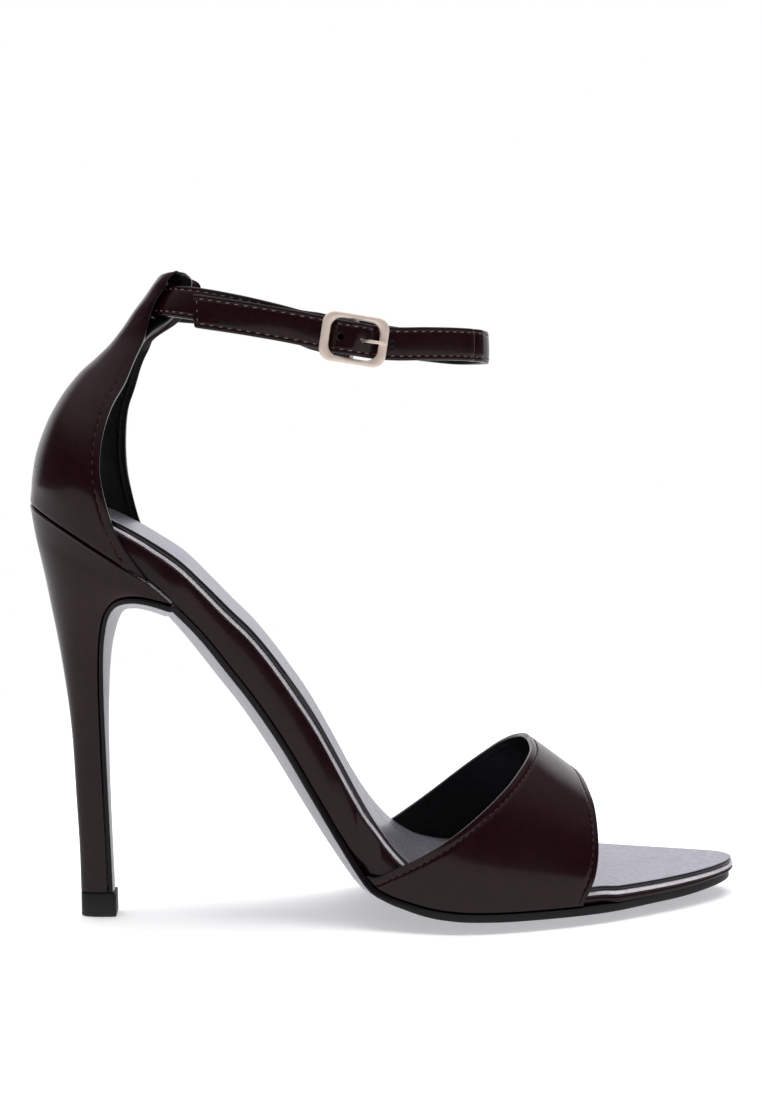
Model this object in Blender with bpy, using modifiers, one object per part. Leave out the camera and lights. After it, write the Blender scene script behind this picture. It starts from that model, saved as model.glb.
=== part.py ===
"""Strappy heeled sandal, right foot, 37: each piece that a shoemaker joins is its own solid.

Metres, +Z up, toe towards +X, inner side of the foot towards +Y. The origin is the middle of the
heel tip's lower face, on the floor. The sole is worked out from two lines seen from the side, the
feather line (where board meets outsole) and the seat line above it, and from the plan of the last.
"""
import math

import bpy
import numpy as np
from mathutils import Matrix, Vector

MM = 0.001
GAP = 0.3 * MM

# The last
SHOE_RUN = 199 * MM
SEAT_SET_BACK = 16.2 * MM
SEAT_RISE = 112 * MM
FEATHER_HEIGHT = 5.2 * MM
BALL_WIDTH = 75.6 * MM
SEAT_ROUND = 33 * MM
SEAT_FULLNESS = 2.3
TOE_ROUND = 40 * MM
TOE_FULLNESS = 2.0
INSTEP = 70 * MM
CREST_SHIFT = 3 * MM
LAST_FULLNESS = 2.4

# Sole
BOTTOM_CROWN = 4 * MM
SHANK_STACK = 20 * MM
SOCK_THICK = 1.2 * MM
SOCK_INSET = 0.5 * MM
SEAT_DISH = 1.2 * MM
TREAD_THICK = 2.4 * MM
SHANK_THICK = 1.8 * MM
FLAP_THICK = 1.3 * MM
TOE_OVERHANG = 1.2 * MM
OUTSOLE_INSET = 0.8 * MM
SIDE_INSET = 0.3 * MM

# Heel
TIP_LENGTH = 10 * MM
TIP_HALF_WIDTH = 4.1 * MM
TIP_HEIGHT = 6.8 * MM
TIP_CHAMFER = 0.4 * MM
HEEL_HALF_WIDTH = 26 * MM
HEEL_RISE = 110 * MM

# Upper
VAMP_WALL = 1.5 * MM
COUNTER_WALL = 1.8 * MM
COUNTER_HALF_WIDTH = 26 * MM
COUNTER_RISE = 63.5 * MM
COUNTER_LEAN = 46 * MM

SEAT_CLEARANCE = COUNTER_WALL + 2 * GAP

# Ankle strap and buckle
STRAP_WIDTH = 9.0 * MM
STRAP_THICK = 1.5 * MM
STRAP_REACH = 92 * MM
STRAP_SPREAD = 52 * MM
STRAP_DROP = 14 * MM
STRAP_LEAN = 15
STRAP_START = 38 * MM
TAB_DROP = 8.5 * MM
TONGUE_LENGTH = 44.7 * MM
TONGUE_SAG = 2.3 * MM
TONGUE_SLANT = -3.0 * MM
HOLE_RADIUS = 0.9 * MM
HOLE_PITCH = 14.5 * MM
BUCKLE_LENGTH = 18.2 * MM
BUCKLE_WIDTH = 13.4 * MM
BUCKLE_THICK = 1.6 * MM
BUCKLE_SIDE_BAR = 2.4 * MM
BUCKLE_END_BAR = 1.5 * MM
BUCKLE_CORNER = 3.4 * MM
MIDDLE_BAR_RADIUS = 0.6 * MM
MIDDLE_BAR_DEPTH = 0.3 * MM
PRONG_RADIUS = 0.5 * MM
PRONG_SLOT = 2.4
PRONG_HOLE = 0.45
SLOT_LENGTH = 2.6 * MM

# How finely the pieces are divided, and the room between the heel's wings and the arch
VAMP_POINTS_ROUND = 33
VAMP_POINTS_ACROSS = 9
SIDE_POINTS = 7
U_POINTS = 17
FOLD_STEPS = 31
BREAST_STEPS = 23
WING_CLEARANCE = 1.4 * MM

# A row for each section of the last, heel to toe. along: share of SHOE_RUN from the seat's back.
# rise: feather line above the forepart's, share of SEAT_RISE. stack: board and sock, straight up,
# share of SHANK_STACK. half, swing: half width and its middle, shares of BALL_WIDTH.
# crown: how far the outsole bulges below its edges, share of BOTTOM_CROWN.
LAST_COLUMNS = ("along", "rise", "stack", "half", "swing", "crown")
LAST_ROWS = (
    (0.000, 0.999, 0.16, 0.344, 0.000, 0.60),
    (0.061, 0.929, 0.42, 0.344, 0.000, 0.65),
    (0.125, 0.855, 0.56, 0.343, 0.000, 0.70),
    (0.174, 0.798, 0.59, 0.331, 0.002, 0.80),
    (0.210, 0.737, 0.68, 0.312, 0.001, 0.86),
    (0.245, 0.668, 0.72, 0.291, 0.000, 1.00),
    (0.277, 0.592, 0.81, 0.278, -0.003, 1.00),
    (0.308, 0.518, 0.91, 0.270, -0.005, 1.00),
    (0.353, 0.395, 1.01, 0.274, -0.009, 1.00),
    (0.393, 0.269, 1.10, 0.294, -0.011, 0.95),
    (0.423, 0.176, 1.06, 0.322, -0.013, 0.90),
    (0.448, 0.102, 0.99, 0.354, -0.013, 0.82),
    (0.463, 0.064, 0.94, 0.374, -0.013, 0.80),
    (0.483, 0.043, 0.76, 0.401, -0.012, 0.82),
    (0.509, 0.028, 0.55, 0.431, -0.011, 0.90),
    (0.539, 0.015, 0.40, 0.463, -0.009, 0.94),
    (0.574, 0.007, 0.32, 0.488, -0.007, 0.96),
    (0.624, 0.003, 0.28, 0.500, 0.003, 0.96),
    (0.694, 0.001, 0.25, 0.483, 0.020, 0.90),
    (0.774, 0.000, 0.23, 0.437, 0.040, 0.68),
    (0.845, 0.001, 0.21, 0.366, 0.053, 0.53),
    (0.916, 0.004, 0.20, 0.307, 0.061, 0.38),
    (0.961, 0.010, 0.18, 0.278, 0.070, 0.28),
    (1.000, 0.016, 0.17, 0.265, 0.079, 0.20),
)

# A row for each section of the heel, tip to seat. The front point is on the breast, which the
# outsole's flap covers, and the back point on the heel's rear line. x is a share of SEAT_SET_BACK,
# z a share of HEEL_RISE above the tip. half: share of HEEL_HALF_WIDTH. crown: share of BOTTOM_CROWN.
HEEL_COLUMNS = ("front_x", "front_z", "back_x", "back_z", "half", "crown")
HEEL_ROWS = (
    (0.179, 0.000, -0.309, 0.000, 0.158, 0.07),
    (0.160, 0.117, -0.318, 0.117, 0.162, 0.07),
    (0.136, 0.254, -0.355, 0.254, 0.177, 0.10),
    (0.120, 0.390, -0.389, 0.390, 0.215, 0.15),
    (0.117, 0.499, -0.451, 0.499, 0.285, 0.23),
    (0.139, 0.599, -0.537, 0.599, 0.396, 0.33),
    (0.191, 0.667, -0.611, 0.672, 0.508, 0.45),
    (0.290, 0.721, -0.691, 0.740, 0.638, 0.55),
    (0.481, 0.754, -0.765, 0.804, 0.762, 0.62),
    (0.790, 0.765, -0.846, 0.863, 0.862, 0.70),
    (1.123, 0.759, -0.926, 0.922, 0.927, 0.78),
    (1.451, 0.743, -1.000, 0.998, 0.935, 0.82),
)

# The vamp's rear and front edges, from the sole (girth 0) to the crest (girth 1), shares of SHOE_RUN.
VAMP_COLUMNS = ("girth", "rear", "front")
VAMP_ROWS = (
    (0.00, 0.456, 0.750),
    (0.05, 0.480, 0.757),
    (0.12, 0.520, 0.766),
    (0.20, 0.562, 0.772),
    (0.30, 0.605, 0.776),
    (0.43, 0.647, 0.778),
    (0.56, 0.674, 0.779),
    (0.72, 0.694, 0.777),
    (1.00, 0.703, 0.776),
)

# The last's crest over the forefoot: height share of INSTEP above the floor.
CREST_COLUMNS = ("along", "height")
CREST_ROWS = (
    (0.433, 1.214),
    (0.483, 1.100),
    (0.534, 0.993),
    (0.584, 0.893),
    (0.644, 0.783),
    (0.703, 0.670),
    (0.742, 0.587),
    (0.776, 0.513),
    (0.815, 0.443),
)

# A row for each section of the counter above the seam, up the neck, over the fold and down inside.
# x shares of COUNTER_LEAN from the seat's back, z shares of COUNTER_RISE above the seam's back,
# half: share of COUNTER_HALF_WIDTH, turn: how much further forward the inner side is, share of COUNTER_LEAN.
COUNTER_COLUMNS = ("back_x", "back_z", "side_x", "side_z", "half", "fullness", "turn")
COUNTER_ROWS = (
    (0.011, 0.060, 0.604, -0.208, 0.996, 2.3, 0.076),
    (0.020, 0.118, 0.530, -0.094, 1.000, 2.3, 0.087),
    (0.043, 0.208, 0.478, 0.057, 0.992, 2.2, 0.091),
    (0.083, 0.293, 0.465, 0.167, 0.946, 2.2, 0.087),
    (0.139, 0.383, 0.485, 0.291, 0.854, 2.2, 0.070),
    (0.217, 0.476, 0.535, 0.411, 0.723, 2.1, 0.043),
    (0.317, 0.564, 0.609, 0.512, 0.577, 2.1, 0.022),
    (0.417, 0.628, 0.665, 0.614, 0.462, 2.0, 0.015),
    (0.504, 0.688, 0.720, 0.701, 0.385, 2.0, 0.020),
    (0.583, 0.759, 0.752, 0.784, 0.346, 2.0, 0.022),
    (0.646, 0.825, 0.793, 0.857, 0.331, 2.0, 0.012),
    (0.713, 0.887, 0.843, 0.910, 0.327, 2.0, 0.018),
    (0.774, 0.948, 0.878, 0.964, 0.322, 2.0, 0.018),
    (0.818, 0.984, 0.925, 0.990, 0.308, 2.0, 0.012),
    (0.872, 0.984, 0.972, 0.985, 0.285, 2.0, 0.012),
    (0.924, 0.956, 1.010, 0.953, 0.252, 2.0, 0.038),
    (0.908, 0.897, 0.994, 0.894, 0.233, 2.0, 0.050),
    (0.866, 0.838, 0.942, 0.836, 0.222, 2.0, 0.036),
    (0.805, 0.775, 0.870, 0.774, 0.222, 2.0, 0.025),
    (0.680, 0.715, 0.755, 0.715, 0.240, 2.0, 0.015),
    (0.560, 0.665, 0.690, 0.660, 0.260, 2.0, 0.010),
)
SEAM_SIDE = 0.168

# The strap's own loop, seen from above, from the buckle round the back, along the inner side and
# round the front. x share of STRAP_REACH from its rear end, y of STRAP_SPREAD, z of STRAP_DROP,
# and last how far its top leans out, a share of STRAP_LEAN.
ROUTE_ROWS = (
    (0.565, -0.500, 0.114, 0.0),
    (0.446, -0.492, 0.300, 0.0),
    (0.326, -0.458, 0.521, 0.0),
    (0.217, -0.396, 0.714, 0.2),
    (0.112, -0.296, 0.880, 0.8),
    (0.022, -0.163, 0.975, 1.6),
    (-0.020, 0.000, 1.000, 1.9),
    (0.038, 0.163, 0.960, 1.5),
    (0.134, 0.300, 0.930, 0.8),
    (0.250, 0.385, 0.800, 0.2),
    (0.391, 0.442, 0.640, 0.0),
    (0.543, 0.465, 0.470, 0.0),
    (0.696, 0.438, 0.257, 0.0),
    (0.815, 0.365, 0.129, 0.0),
    (0.902, 0.273, 0.043, 0.0),
    (0.963, 0.154, 0.014, 0.0),
    (0.983, 0.000, 0.000, 0.0),
    (0.954, -0.138, 0.021, 0.0),
    (0.891, -0.265, 0.036, 0.0),
    (0.793, -0.388, 0.036, 0.0),
    (0.685, -0.469, 0.029, 0.0),
)


def column(rows, columns, name):
    place = columns.index(name)
    return np.array([row[place] for row in rows])


def smooth(knots, values, at):
    """A smooth line through the rows: cubic pieces whose slopes follow the neighbouring rows."""
    knots = np.asarray(knots, float)
    values = np.asarray(values, float)
    steps = np.diff(knots)
    rises = np.diff(values, axis=0)
    if values.ndim > 1:
        steps = steps[:, None]
    secants = rises / steps
    slopes = np.empty_like(values)
    slopes[1:-1] = (secants[:-1] * steps[1:] + secants[1:] * steps[:-1]) / (steps[1:] + steps[:-1])
    slopes[0] = secants[0]
    slopes[-1] = secants[-1]
    at = np.clip(np.asarray(at, float), knots[0], knots[-1])
    place = np.clip(np.searchsorted(knots, at, side="right") - 1, 0, len(knots) - 2)
    step = knots[place + 1] - knots[place]
    t = (at - knots[place]) / step
    if values.ndim > 1:
        t = t[..., None]
        step = step[..., None]
    first = (2 * t + 1) * (t - 1) ** 2 * values[place] + t * (t - 1) ** 2 * step * slopes[place]
    last = t * t * (3 - 2 * t) * values[place + 1] + t * t * (t - 1) * step * slopes[place + 1]
    return first + last


def ramp(x, start, end):
    """0 before start, 1 after end, smooth between. start may lie beyond end."""
    t = np.clip((x - start) / (end - start), 0.0, 1.0)
    return t * t * (3 - 2 * t)


def place_of(share):
    """Where a share of the shoe's run is, along X."""
    return share * SHOE_RUN - SEAT_SET_BACK


def last_value(name, x, size):
    share = (np.asarray(x, float) + SEAT_SET_BACK) / SHOE_RUN
    along = column(LAST_ROWS, LAST_COLUMNS, "along")
    return size * smooth(along, column(LAST_ROWS, LAST_COLUMNS, name), share)


def feather(x):
    """Height of the feather line, where the board's side meets outsole or heel."""
    return FEATHER_HEIGHT + last_value("rise", x, SEAT_RISE)


def feather_slope(x):
    step = 0.5 * MM
    return (feather(x + step) - feather(x - step)) / (2 * step)


def steepness(x):
    """How much longer a thickness is when measured straight up."""
    return math.hypot(1.0, feather_slope(x))


def seat(x):
    """Height of the sock's upper edge."""
    return feather(x) + last_value("stack", x, SHANK_STACK)


def rounded(distance, length, fullness):
    """Share of the full width at this distance from a rounded end."""
    inside = 1 - max(0.0, 1 - distance / length) ** fullness
    return max(0.0, inside) ** (1 / fullness)


def plan(x, inset=0.0, seat_inset=0.0, toe_inset=0.0):
    """(outer side, inner side) of the last's plan at x, in Y, drawn in by these amounts."""
    half = last_value("half", x, BALL_WIDTH) - inset
    middle = last_value("swing", x, BALL_WIDTH)
    back = x - (place_of(0) + seat_inset)
    front = place_of(1) - toe_inset - x
    half = half * rounded(back, SEAT_ROUND, SEAT_FULLNESS) * rounded(front, TOE_ROUND, TOE_FULLNESS)
    return middle - half, middle + half


def board_inset(x):
    """The board's side draws in where the counter or the vamp covers it."""
    counter_zone = 1 - ramp(x, place_of(0.168), place_of(0.218))
    vamp_zone = ramp(x, place_of(0.415), place_of(0.452)) * (1 - ramp(x, place_of(0.777), place_of(0.805)))
    cover = counter_zone * (COUNTER_WALL + 2 * GAP) + vamp_zone * (VAMP_WALL + 2 * GAP)
    cover -= SIDE_INSET * (counter_zone + vamp_zone)
    return SIDE_INSET * (1 - ramp(x, place_of(0.777), place_of(0.805))) + cover


def stations(start, end, count, crowd=0.0):
    """Places along X from start to end, spread evenly along the sole, crowded towards both ends."""
    fine = np.linspace(start, end, 400)
    length = np.concatenate([[0], np.cumsum(np.hypot(np.diff(fine), np.diff(seat(fine))))])
    share = np.linspace(0, 1, count)
    share = share - crowd * np.sin(2 * np.pi * share) / (2 * np.pi)
    return np.interp(share * length[-1], length, fine)


def material(name, color, roughness, metallic=0.0):
    made = bpy.data.materials.new(name)
    made.use_nodes = True
    shader = made.node_tree.nodes["Principled BSDF"]
    shader.inputs["Base Color"].default_value = (*color, 1.0)
    shader.inputs["Roughness"].default_value = roughness
    shader.inputs["Metallic"].default_value = metallic
    return made


def add_object(name, points, faces, finish, collection):
    mesh = bpy.data.meshes.new(name)
    mesh.from_pydata([tuple(point) for point in points], [], faces)
    mesh.validate()
    made = bpy.data.objects.new(name, mesh)
    if finish:
        mesh.materials.append(finish)
    collection.objects.link(made)
    return made


def loft(name, rings, finish, collection):
    """Closed solid through rings of equal count, with flat ends."""
    count = len(rings[0])
    points = [point for ring in rings for point in ring]
    faces = [tuple(range(count))[::-1]]
    for row in range(len(rings) - 1):
        for i in range(count):
            j = (i + 1) % count
            faces.append((row * count + i, row * count + j, (row + 1) * count + j, (row + 1) * count + i))
    faces.append(tuple(range((len(rings) - 1) * count, len(rings) * count)))
    return face_outwards(add_object(name, points, faces, finish, collection))


def face_outwards(made):
    """Turns every face out, so that the solid's volume is positive."""
    mesh = made.data
    mesh.calc_loop_triangles()
    points = np.array([tuple(vertex.co) for vertex in mesh.vertices])
    corners = points[[list(triangle.vertices) for triangle in mesh.loop_triangles]]
    if np.einsum("ij,ij->i", corners[:, 0], np.cross(corners[:, 1], corners[:, 2])).sum() < 0:
        mesh.flip_normals()
    return made


def sheet(name, grid, wall, finish, collection):
    """A wall of this thickness behind a grid of points, on the side that the normals leave."""
    rows = len(grid)
    count = len(grid[0])
    points = [point for row in grid for point in row]
    faces = []
    for row in range(rows - 1):
        for i in range(count - 1):
            a = row * count + i
            faces.append((a, a + 1, a + count + 1, a + count))
    made = add_object(name, points, faces, finish, collection)
    solid = made.modifiers.new("Wall", "SOLIDIFY")
    solid.thickness = wall
    solid.offset = -1.0
    solid.use_even_offset = True
    return made


def apply_modifiers(made):
    graph = bpy.context.evaluated_depsgraph_get()
    mesh = bpy.data.meshes.new_from_object(made.evaluated_get(graph))
    made.modifiers.clear()
    made.data = mesh
    return made


def boolean(made, cutter, operation):
    step = made.modifiers.new(operation.title(), "BOOLEAN")
    step.operation = operation
    step.object = cutter
    return step


def shade(made, angle=40):
    made.data.shade_smooth()
    made.data.set_sharp_from_angle(angle=math.radians(angle))


def heel_row(share):
    """One section of the heel at this share of its rows, as sizes."""
    places = np.arange(len(HEEL_ROWS))
    row = smooth(places, np.array(HEEL_ROWS), np.array([share * (len(HEEL_ROWS) - 1)]))[0]
    values = dict(zip(HEEL_COLUMNS, row))
    base = TIP_HEIGHT + GAP
    return {
        "front": np.array([values["front_x"] * SEAT_SET_BACK, base + values["front_z"] * HEEL_RISE]),
        "back": np.array([values["back_x"] * SEAT_SET_BACK, base + values["back_z"] * HEEL_RISE]),
        "half": values["half"] * HEEL_HALF_WIDTH,
        "crown": values["crown"] * BOTTOM_CROWN,
    }


def sole_stations():
    """Places along X that outsole and board share, from the wings' ends to the outsole's toe."""
    start = heel_row(1)["front"][0] + WING_CLEARANCE
    end = place_of(1) - TOE_OVERHANG - 0.1 * MM
    return list(stations(start, end, 40, crowd=0.3))


def board_stations():
    """Places along X for board and sock, from the seat's back to the toe."""
    start = place_of(0) + SEAT_CLEARANCE + 0.1 * MM
    seat_part = stations(start, heel_row(1)["front"][0] + 0.7 * WING_CLEARANCE, 12, crowd=0.6)
    toe_part = [place_of(1) - share * TOE_OVERHANG for share in (0.8, 0.45, 0.1)]
    return list(seat_part) + sole_stations() + toe_part


def outsole_plan(x):
    inset = OUTSOLE_INSET * ramp(x, place_of(0.78), place_of(0.88))
    return plan(x, inset=inset, toe_inset=TOE_OVERHANG)


def outsole_bulge(x, y):
    """How far the outsole bulges below its edges, at x and y."""
    outer, inner = outsole_plan(x)
    if inner - outer < MM:
        return 0.0
    across = min(1.0, abs(2 * (y - outer) / (inner - outer) - 1))
    return float(last_value("crown", x, BOTTOM_CROWN)) * (1 - across**2)


def breast_rows():
    """The heel's sections with the direction down from the breast, which turns smoothly into the arch."""
    rows = [heel_row(i / (BREAST_STEPS - 1)) for i in range(BREAST_STEPS)]
    line = [row["front"] for row in rows] + [np.array([x, float(feather(x))]) for x in sole_stations()[:2]]
    for i, row in enumerate(rows):
        ahead = line[min(i + 2, len(line) - 1)] - line[max(i - 2, 0)]
        ahead /= np.linalg.norm(ahead)
        row["down"] = np.array([ahead[1], -ahead[0]])
    return rows


def outsole(finish, collection):
    sections = []
    for i, row in enumerate(breast_rows()):
        thick = FLAP_THICK + (SHANK_THICK - FLAP_THICK) * ramp(i / BREAST_STEPS, 0.45, 1)
        sections.append((row["front"], row["down"], (-row["half"], row["half"]), row["crown"], thick))
    for x in sole_stations():
        down = np.array([feather_slope(x), -1.0]) / steepness(x)
        thick = SHANK_THICK + (TREAD_THICK - SHANK_THICK) * ramp(x, place_of(0.45), place_of(0.55))
        crown = float(last_value("crown", x, BOTTOM_CROWN))
        sections.append((np.array([x, float(feather(x))]), down, outsole_plan(x), crown, thick))
    rings = []
    for place, down, sides, crown, thick in sections:
        upper = []
        lower = []
        for u in np.linspace(-1, 1, SIDE_POINTS):
            bulge = crown * (1 - u * u)
            y = sides[0] + (sides[1] - sides[0]) * (u + 1) / 2
            near = place + down * bulge
            far = place + down * (bulge + thick)
            upper.append(Vector((near[0], y, near[1])))
            lower.append(Vector((far[0], y, max(far[1], 0.0))))
        rings.append(upper + lower[::-1])
    made = loft("outsole", rings, finish, collection)
    shade(made)
    return made


def heel(finish, collection):
    rows = breast_rows()
    rings = []
    for i, row in enumerate(rows):
        last = i == len(rows) - 1
        ring = [heel_point(row, angle, last) for angle in np.linspace(-90, 90, U_POINTS)]
        if not last:
            for corner in (0, U_POINTS - 1):
                ring[corner] -= Vector((row["down"][0], 0, row["down"][1])) * GAP
        for u in np.linspace(1, -1, SIDE_POINTS)[1:-1]:
            at = row["front"] + row["down"] * (row["crown"] * (1 - u * u) - GAP)
            ring.append(Vector((at[0], u * row["half"], at[1])))
        rings.append(ring)
    count = len(rings[0])
    points = [point for ring in rings for point in ring]
    faces = [tuple(range(count))[::-1]]
    for row in range(len(rings) - 1):
        for i in range(count):
            j = (i + 1) % count
            faces.append((row * count + i, row * count + j, (row + 1) * count + j, (row + 1) * count + i))
    top = (len(rings) - 1) * count
    half = U_POINTS // 2
    for i in range(half - 1):
        faces.append((top + i, top + i + 1, top + U_POINTS - 2 - i, top + U_POINTS - 1 - i))
    faces.append((top + half - 1, top + half, top + half + 1))
    faces.append((top, *range(top + U_POINTS - 1, top + count)))
    made = face_outwards(add_object("heel", points, faces, finish, collection))
    shade(made)
    return made


def squareness(angle, fullness):
    """How far a rounded section reaches at this angle, as a share of its half width."""
    return (abs(math.cos(angle)) ** fullness + abs(math.sin(angle)) ** fullness) ** (-1 / fullness)


def heel_point(row, angle, last):
    """A point of a heel section: -90 is the outer front corner, 0 the back, 90 the inner front corner."""
    a = math.radians(abs(angle))
    reach = squareness(a, SEAT_FULLNESS)
    depth = 1 - reach * math.cos(a)
    side = math.copysign(reach * math.sin(a), angle)
    at = row["back"] + (row["front"] - row["back"]) * depth
    if last:
        outer, inner = plan(at[0])
        y = inner if angle > 0 else outer
        y = y if angle else 0.0
        return Vector((at[0], y, float(feather(at[0])) - GAP * steepness(at[0])))
    return Vector((at[0], side * row["half"], at[1]))


def heel_tip(finish, collection):
    angles = np.linspace(-90, 90, U_POINTS)
    ring = []
    for angle in angles:
        a = math.radians(angle)
        reach = squareness(a, SEAT_FULLNESS)
        x = TIP_LENGTH / 2 - reach * math.cos(a) * TIP_LENGTH
        ring.append((x, reach * math.sin(a) * TIP_HALF_WIDTH))
    rings = []
    for z, shrink in ((0, TIP_CHAMFER), (TIP_CHAMFER, 0), (TIP_HEIGHT, 0)):
        keep_x = 1 - 2 * shrink / TIP_LENGTH
        keep_y = 1 - shrink / TIP_HALF_WIDTH
        rings.append([Vector((x * keep_x, y * keep_y, z)) for x, y in ring])
    made = loft("heel_tip", rings, finish, collection)
    shade(made)
    return made


def insole_board(finish, collection):
    wing_end = heel_row(1)["front"][0] + WING_CLEARANCE
    rings = []
    for x in board_stations():
        outer, inner = plan(x, board_inset(x), seat_inset=SEAT_CLEARANCE)
        steep = steepness(x)
        top = float(seat(x)) - (SOCK_THICK + GAP) * steep
        down = np.array([feather_slope(x), -1.0]) / steep
        on_outsole = x > wing_end - 0.1 * MM
        upper = []
        lower = []
        for u in np.linspace(-1, 1, SIDE_POINTS):
            y = outer + (inner - outer) * (u + 1) / 2
            bulge = outsole_bulge(x, y) - 1.4 * GAP if on_outsole else 0.0
            at = np.array([x, float(feather(x))]) + down * bulge
            upper.append(Vector((x, y, top - dish(x) * (1 - u * u))))
            lower.append(Vector((at[0], y, at[1])))
        rings.append(upper + lower[::-1])
    made = loft("insole_board", rings, finish, collection)
    shade(made)
    return made


def dish(x):
    """The seat is hollow across, for the heel of the foot."""
    back = ramp(x, place_of(0.01), place_of(0.08))
    return SEAT_DISH * back * (1 - ramp(x, place_of(0.1), place_of(0.3)))


def insole_sock(finish, collection):
    inset = SEAT_CLEARANCE + SOCK_INSET
    start = place_of(0) + inset + SOCK_INSET
    end = place_of(1) - SOCK_INSET - 0.1 * MM
    rings = []
    for x in [start] + [x for x in board_stations() if start + 0.1 * MM < x < end - 0.1 * MM] + [end]:
        outer, inner = plan(x, board_inset(x) + SOCK_INSET, seat_inset=inset, toe_inset=SOCK_INSET)
        wide_outer, wide_inner = plan(x, board_inset(x), seat_inset=SEAT_CLEARANCE)
        upper = []
        lower = []
        for u in np.linspace(-1, 1, SIDE_POINTS):
            y = outer + (inner - outer) * (u + 1) / 2
            across = 2 * (y - wide_outer) / (wide_inner - wide_outer) - 1
            z = float(seat(x)) - dish(x) * (1 - across**2)
            upper.append(Vector((x, y, z)))
            lower.append(Vector((x, y, z - SOCK_THICK * steepness(x))))
        rings.append(upper + lower[::-1])
    made = loft("insole_sock", rings, finish, collection)
    shade(made)
    return made


def vamp_point(girth, across):
    """Outer surface of the vamp.

    girth is -1 and 1 where the sole meets the outer and the inner side and 0 on the crest. across is 0 at
    the rear edge and 1 at the front edge.
    """
    share = 1 - abs(girth)
    knots = column(VAMP_ROWS, VAMP_COLUMNS, "girth")
    rear = smooth(knots, column(VAMP_ROWS, VAMP_COLUMNS, "rear"), share)
    front = smooth(knots, column(VAMP_ROWS, VAMP_COLUMNS, "front"), share)
    x = place_of(rear + (front - rear) * across)
    along = column(CREST_ROWS, CREST_COLUMNS, "along")
    height = column(CREST_ROWS, CREST_COLUMNS, "height")
    crest = INSTEP * float(smooth(along, height, (x + SEAT_SET_BACK) / SHOE_RUN))
    base = float(feather(x)) + 1.3 * GAP * steepness(x)
    angle = share * math.pi / 2
    reach = squareness(angle, LAST_FULLNESS)
    outer, inner = plan(x)
    side = inner if girth > 0 else outer
    middle = (outer + inner) / 2 + CREST_SHIFT
    y = middle + (side - middle) * reach * math.cos(angle) if share < 1 else middle
    return Vector((x, y, base + (crest - base) * reach * math.sin(angle)))


def vamp_strap(finish, collection):
    # The girth's rows are closer near the sole, where the edges curve most.
    girths = np.sin(np.linspace(-1, 1, VAMP_POINTS_ROUND) * math.pi / 2)
    shares = np.linspace(0, 1, VAMP_POINTS_ACROSS)
    grid = [[vamp_point(girth, across) for across in shares] for girth in girths]
    made = sheet("vamp_strap", grid, VAMP_WALL, finish, collection)
    shade(apply_modifiers(made))
    return made


def u_section(values, count):
    """A row of the counter: outer front edge, round the back, inner front edge."""
    back = np.array([values["back_x"] * COUNTER_LEAN - SEAT_SET_BACK, values["back_z"] * COUNTER_RISE])
    side = np.array([values["side_x"] * COUNTER_LEAN - SEAT_SET_BACK, values["side_z"] * COUNTER_RISE])
    base = float(feather(place_of(0)))
    row = []
    for angle in np.linspace(-90, 90, count):
        a = math.radians(abs(angle))
        n = values["fullness"]
        reach = squareness(a, n)
        depth = 1 - reach * math.cos(a)
        turn = values["turn"] * COUNTER_LEAN * (angle > 0)
        at = back + (side + np.array([turn, 0]) - back) * depth
        y = math.copysign(reach * math.sin(a), angle) * values["half"] * COUNTER_HALF_WIDTH
        row.append(Vector((at[0], y, base + at[1])))
    return row


def seam_section(count):
    """The counter's lowest row, on the heel's rim."""
    row = []
    for angle in np.linspace(-90, 90, count):
        a = math.radians(abs(angle))
        reach = squareness(a, SEAT_FULLNESS)
        x = place_of(SEAM_SIDE * (1 - reach * math.cos(a))) + 0.1 * MM
        outer, inner = plan(x)
        y = inner if angle > 0 else outer
        row.append(Vector((x, y if angle else 0.0, float(feather(x)))))
    return row


def counter_grid(rows, count, steps):
    knots = np.arange(len(rows))
    at = np.linspace(0, len(rows) - 1, steps)
    values = smooth(knots, np.array(rows), at)
    return [u_section(dict(zip(COUNTER_COLUMNS, row)), count) for row in values]


def heel_counter(finish, collection):
    grid = [seam_section(U_POINTS)] + counter_grid(COUNTER_ROWS, U_POINTS, FOLD_STEPS)
    made = sheet("heel_counter", grid[::-1], COUNTER_WALL, finish, collection)
    shade(apply_modifiers(made))
    return made


def route_line():
    """The strap's loop as (rows of place and lean, distances along it, its length), from the buckle."""
    rows = np.array(ROUTE_ROWS + ROUTE_ROWS[:1])
    rows[:, 0] = STRAP_START - SEAT_SET_BACK + rows[:, 0] * STRAP_REACH
    rows[:, 1] = rows[:, 1] * STRAP_SPREAD
    top = float(feather(place_of(0))) + COUNTER_RISE - TAB_DROP - STRAP_DROP
    rows[:, 2] = top + rows[:, 2] * STRAP_DROP
    steps = np.linalg.norm(np.diff(rows[:, :3], axis=0), axis=1)
    around = np.vstack([rows[-4:-1], rows, rows[1:4]])
    before = -np.cumsum(steps[::-1][:3])[::-1]
    after = np.sum(steps) + np.cumsum(steps[:3])
    knots = np.concatenate([before, [0], np.cumsum(steps), after])
    return around, knots, float(np.sum(steps))


def strap_frame(line, at):
    """(place, ahead, outward, upward) of the strap's loop at this distance along it."""
    around, knots, total = line
    at = at % total
    place = smooth(knots, around, np.array([at]))[0]
    step = 0.2 * MM
    ends = smooth(knots, around[:, :3], np.array([at - step, at + step]))
    ahead = Vector(ends[1] - ends[0])
    ahead.normalize()
    outward = Vector((0, 0, 1)).cross(ahead)
    outward.normalize()
    upward = ahead.cross(outward)
    turn = Matrix.Rotation(math.radians(STRAP_LEAN) * place[3], 3, ahead)
    return Vector(place[:3]), ahead, turn @ outward, turn @ upward


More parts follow.
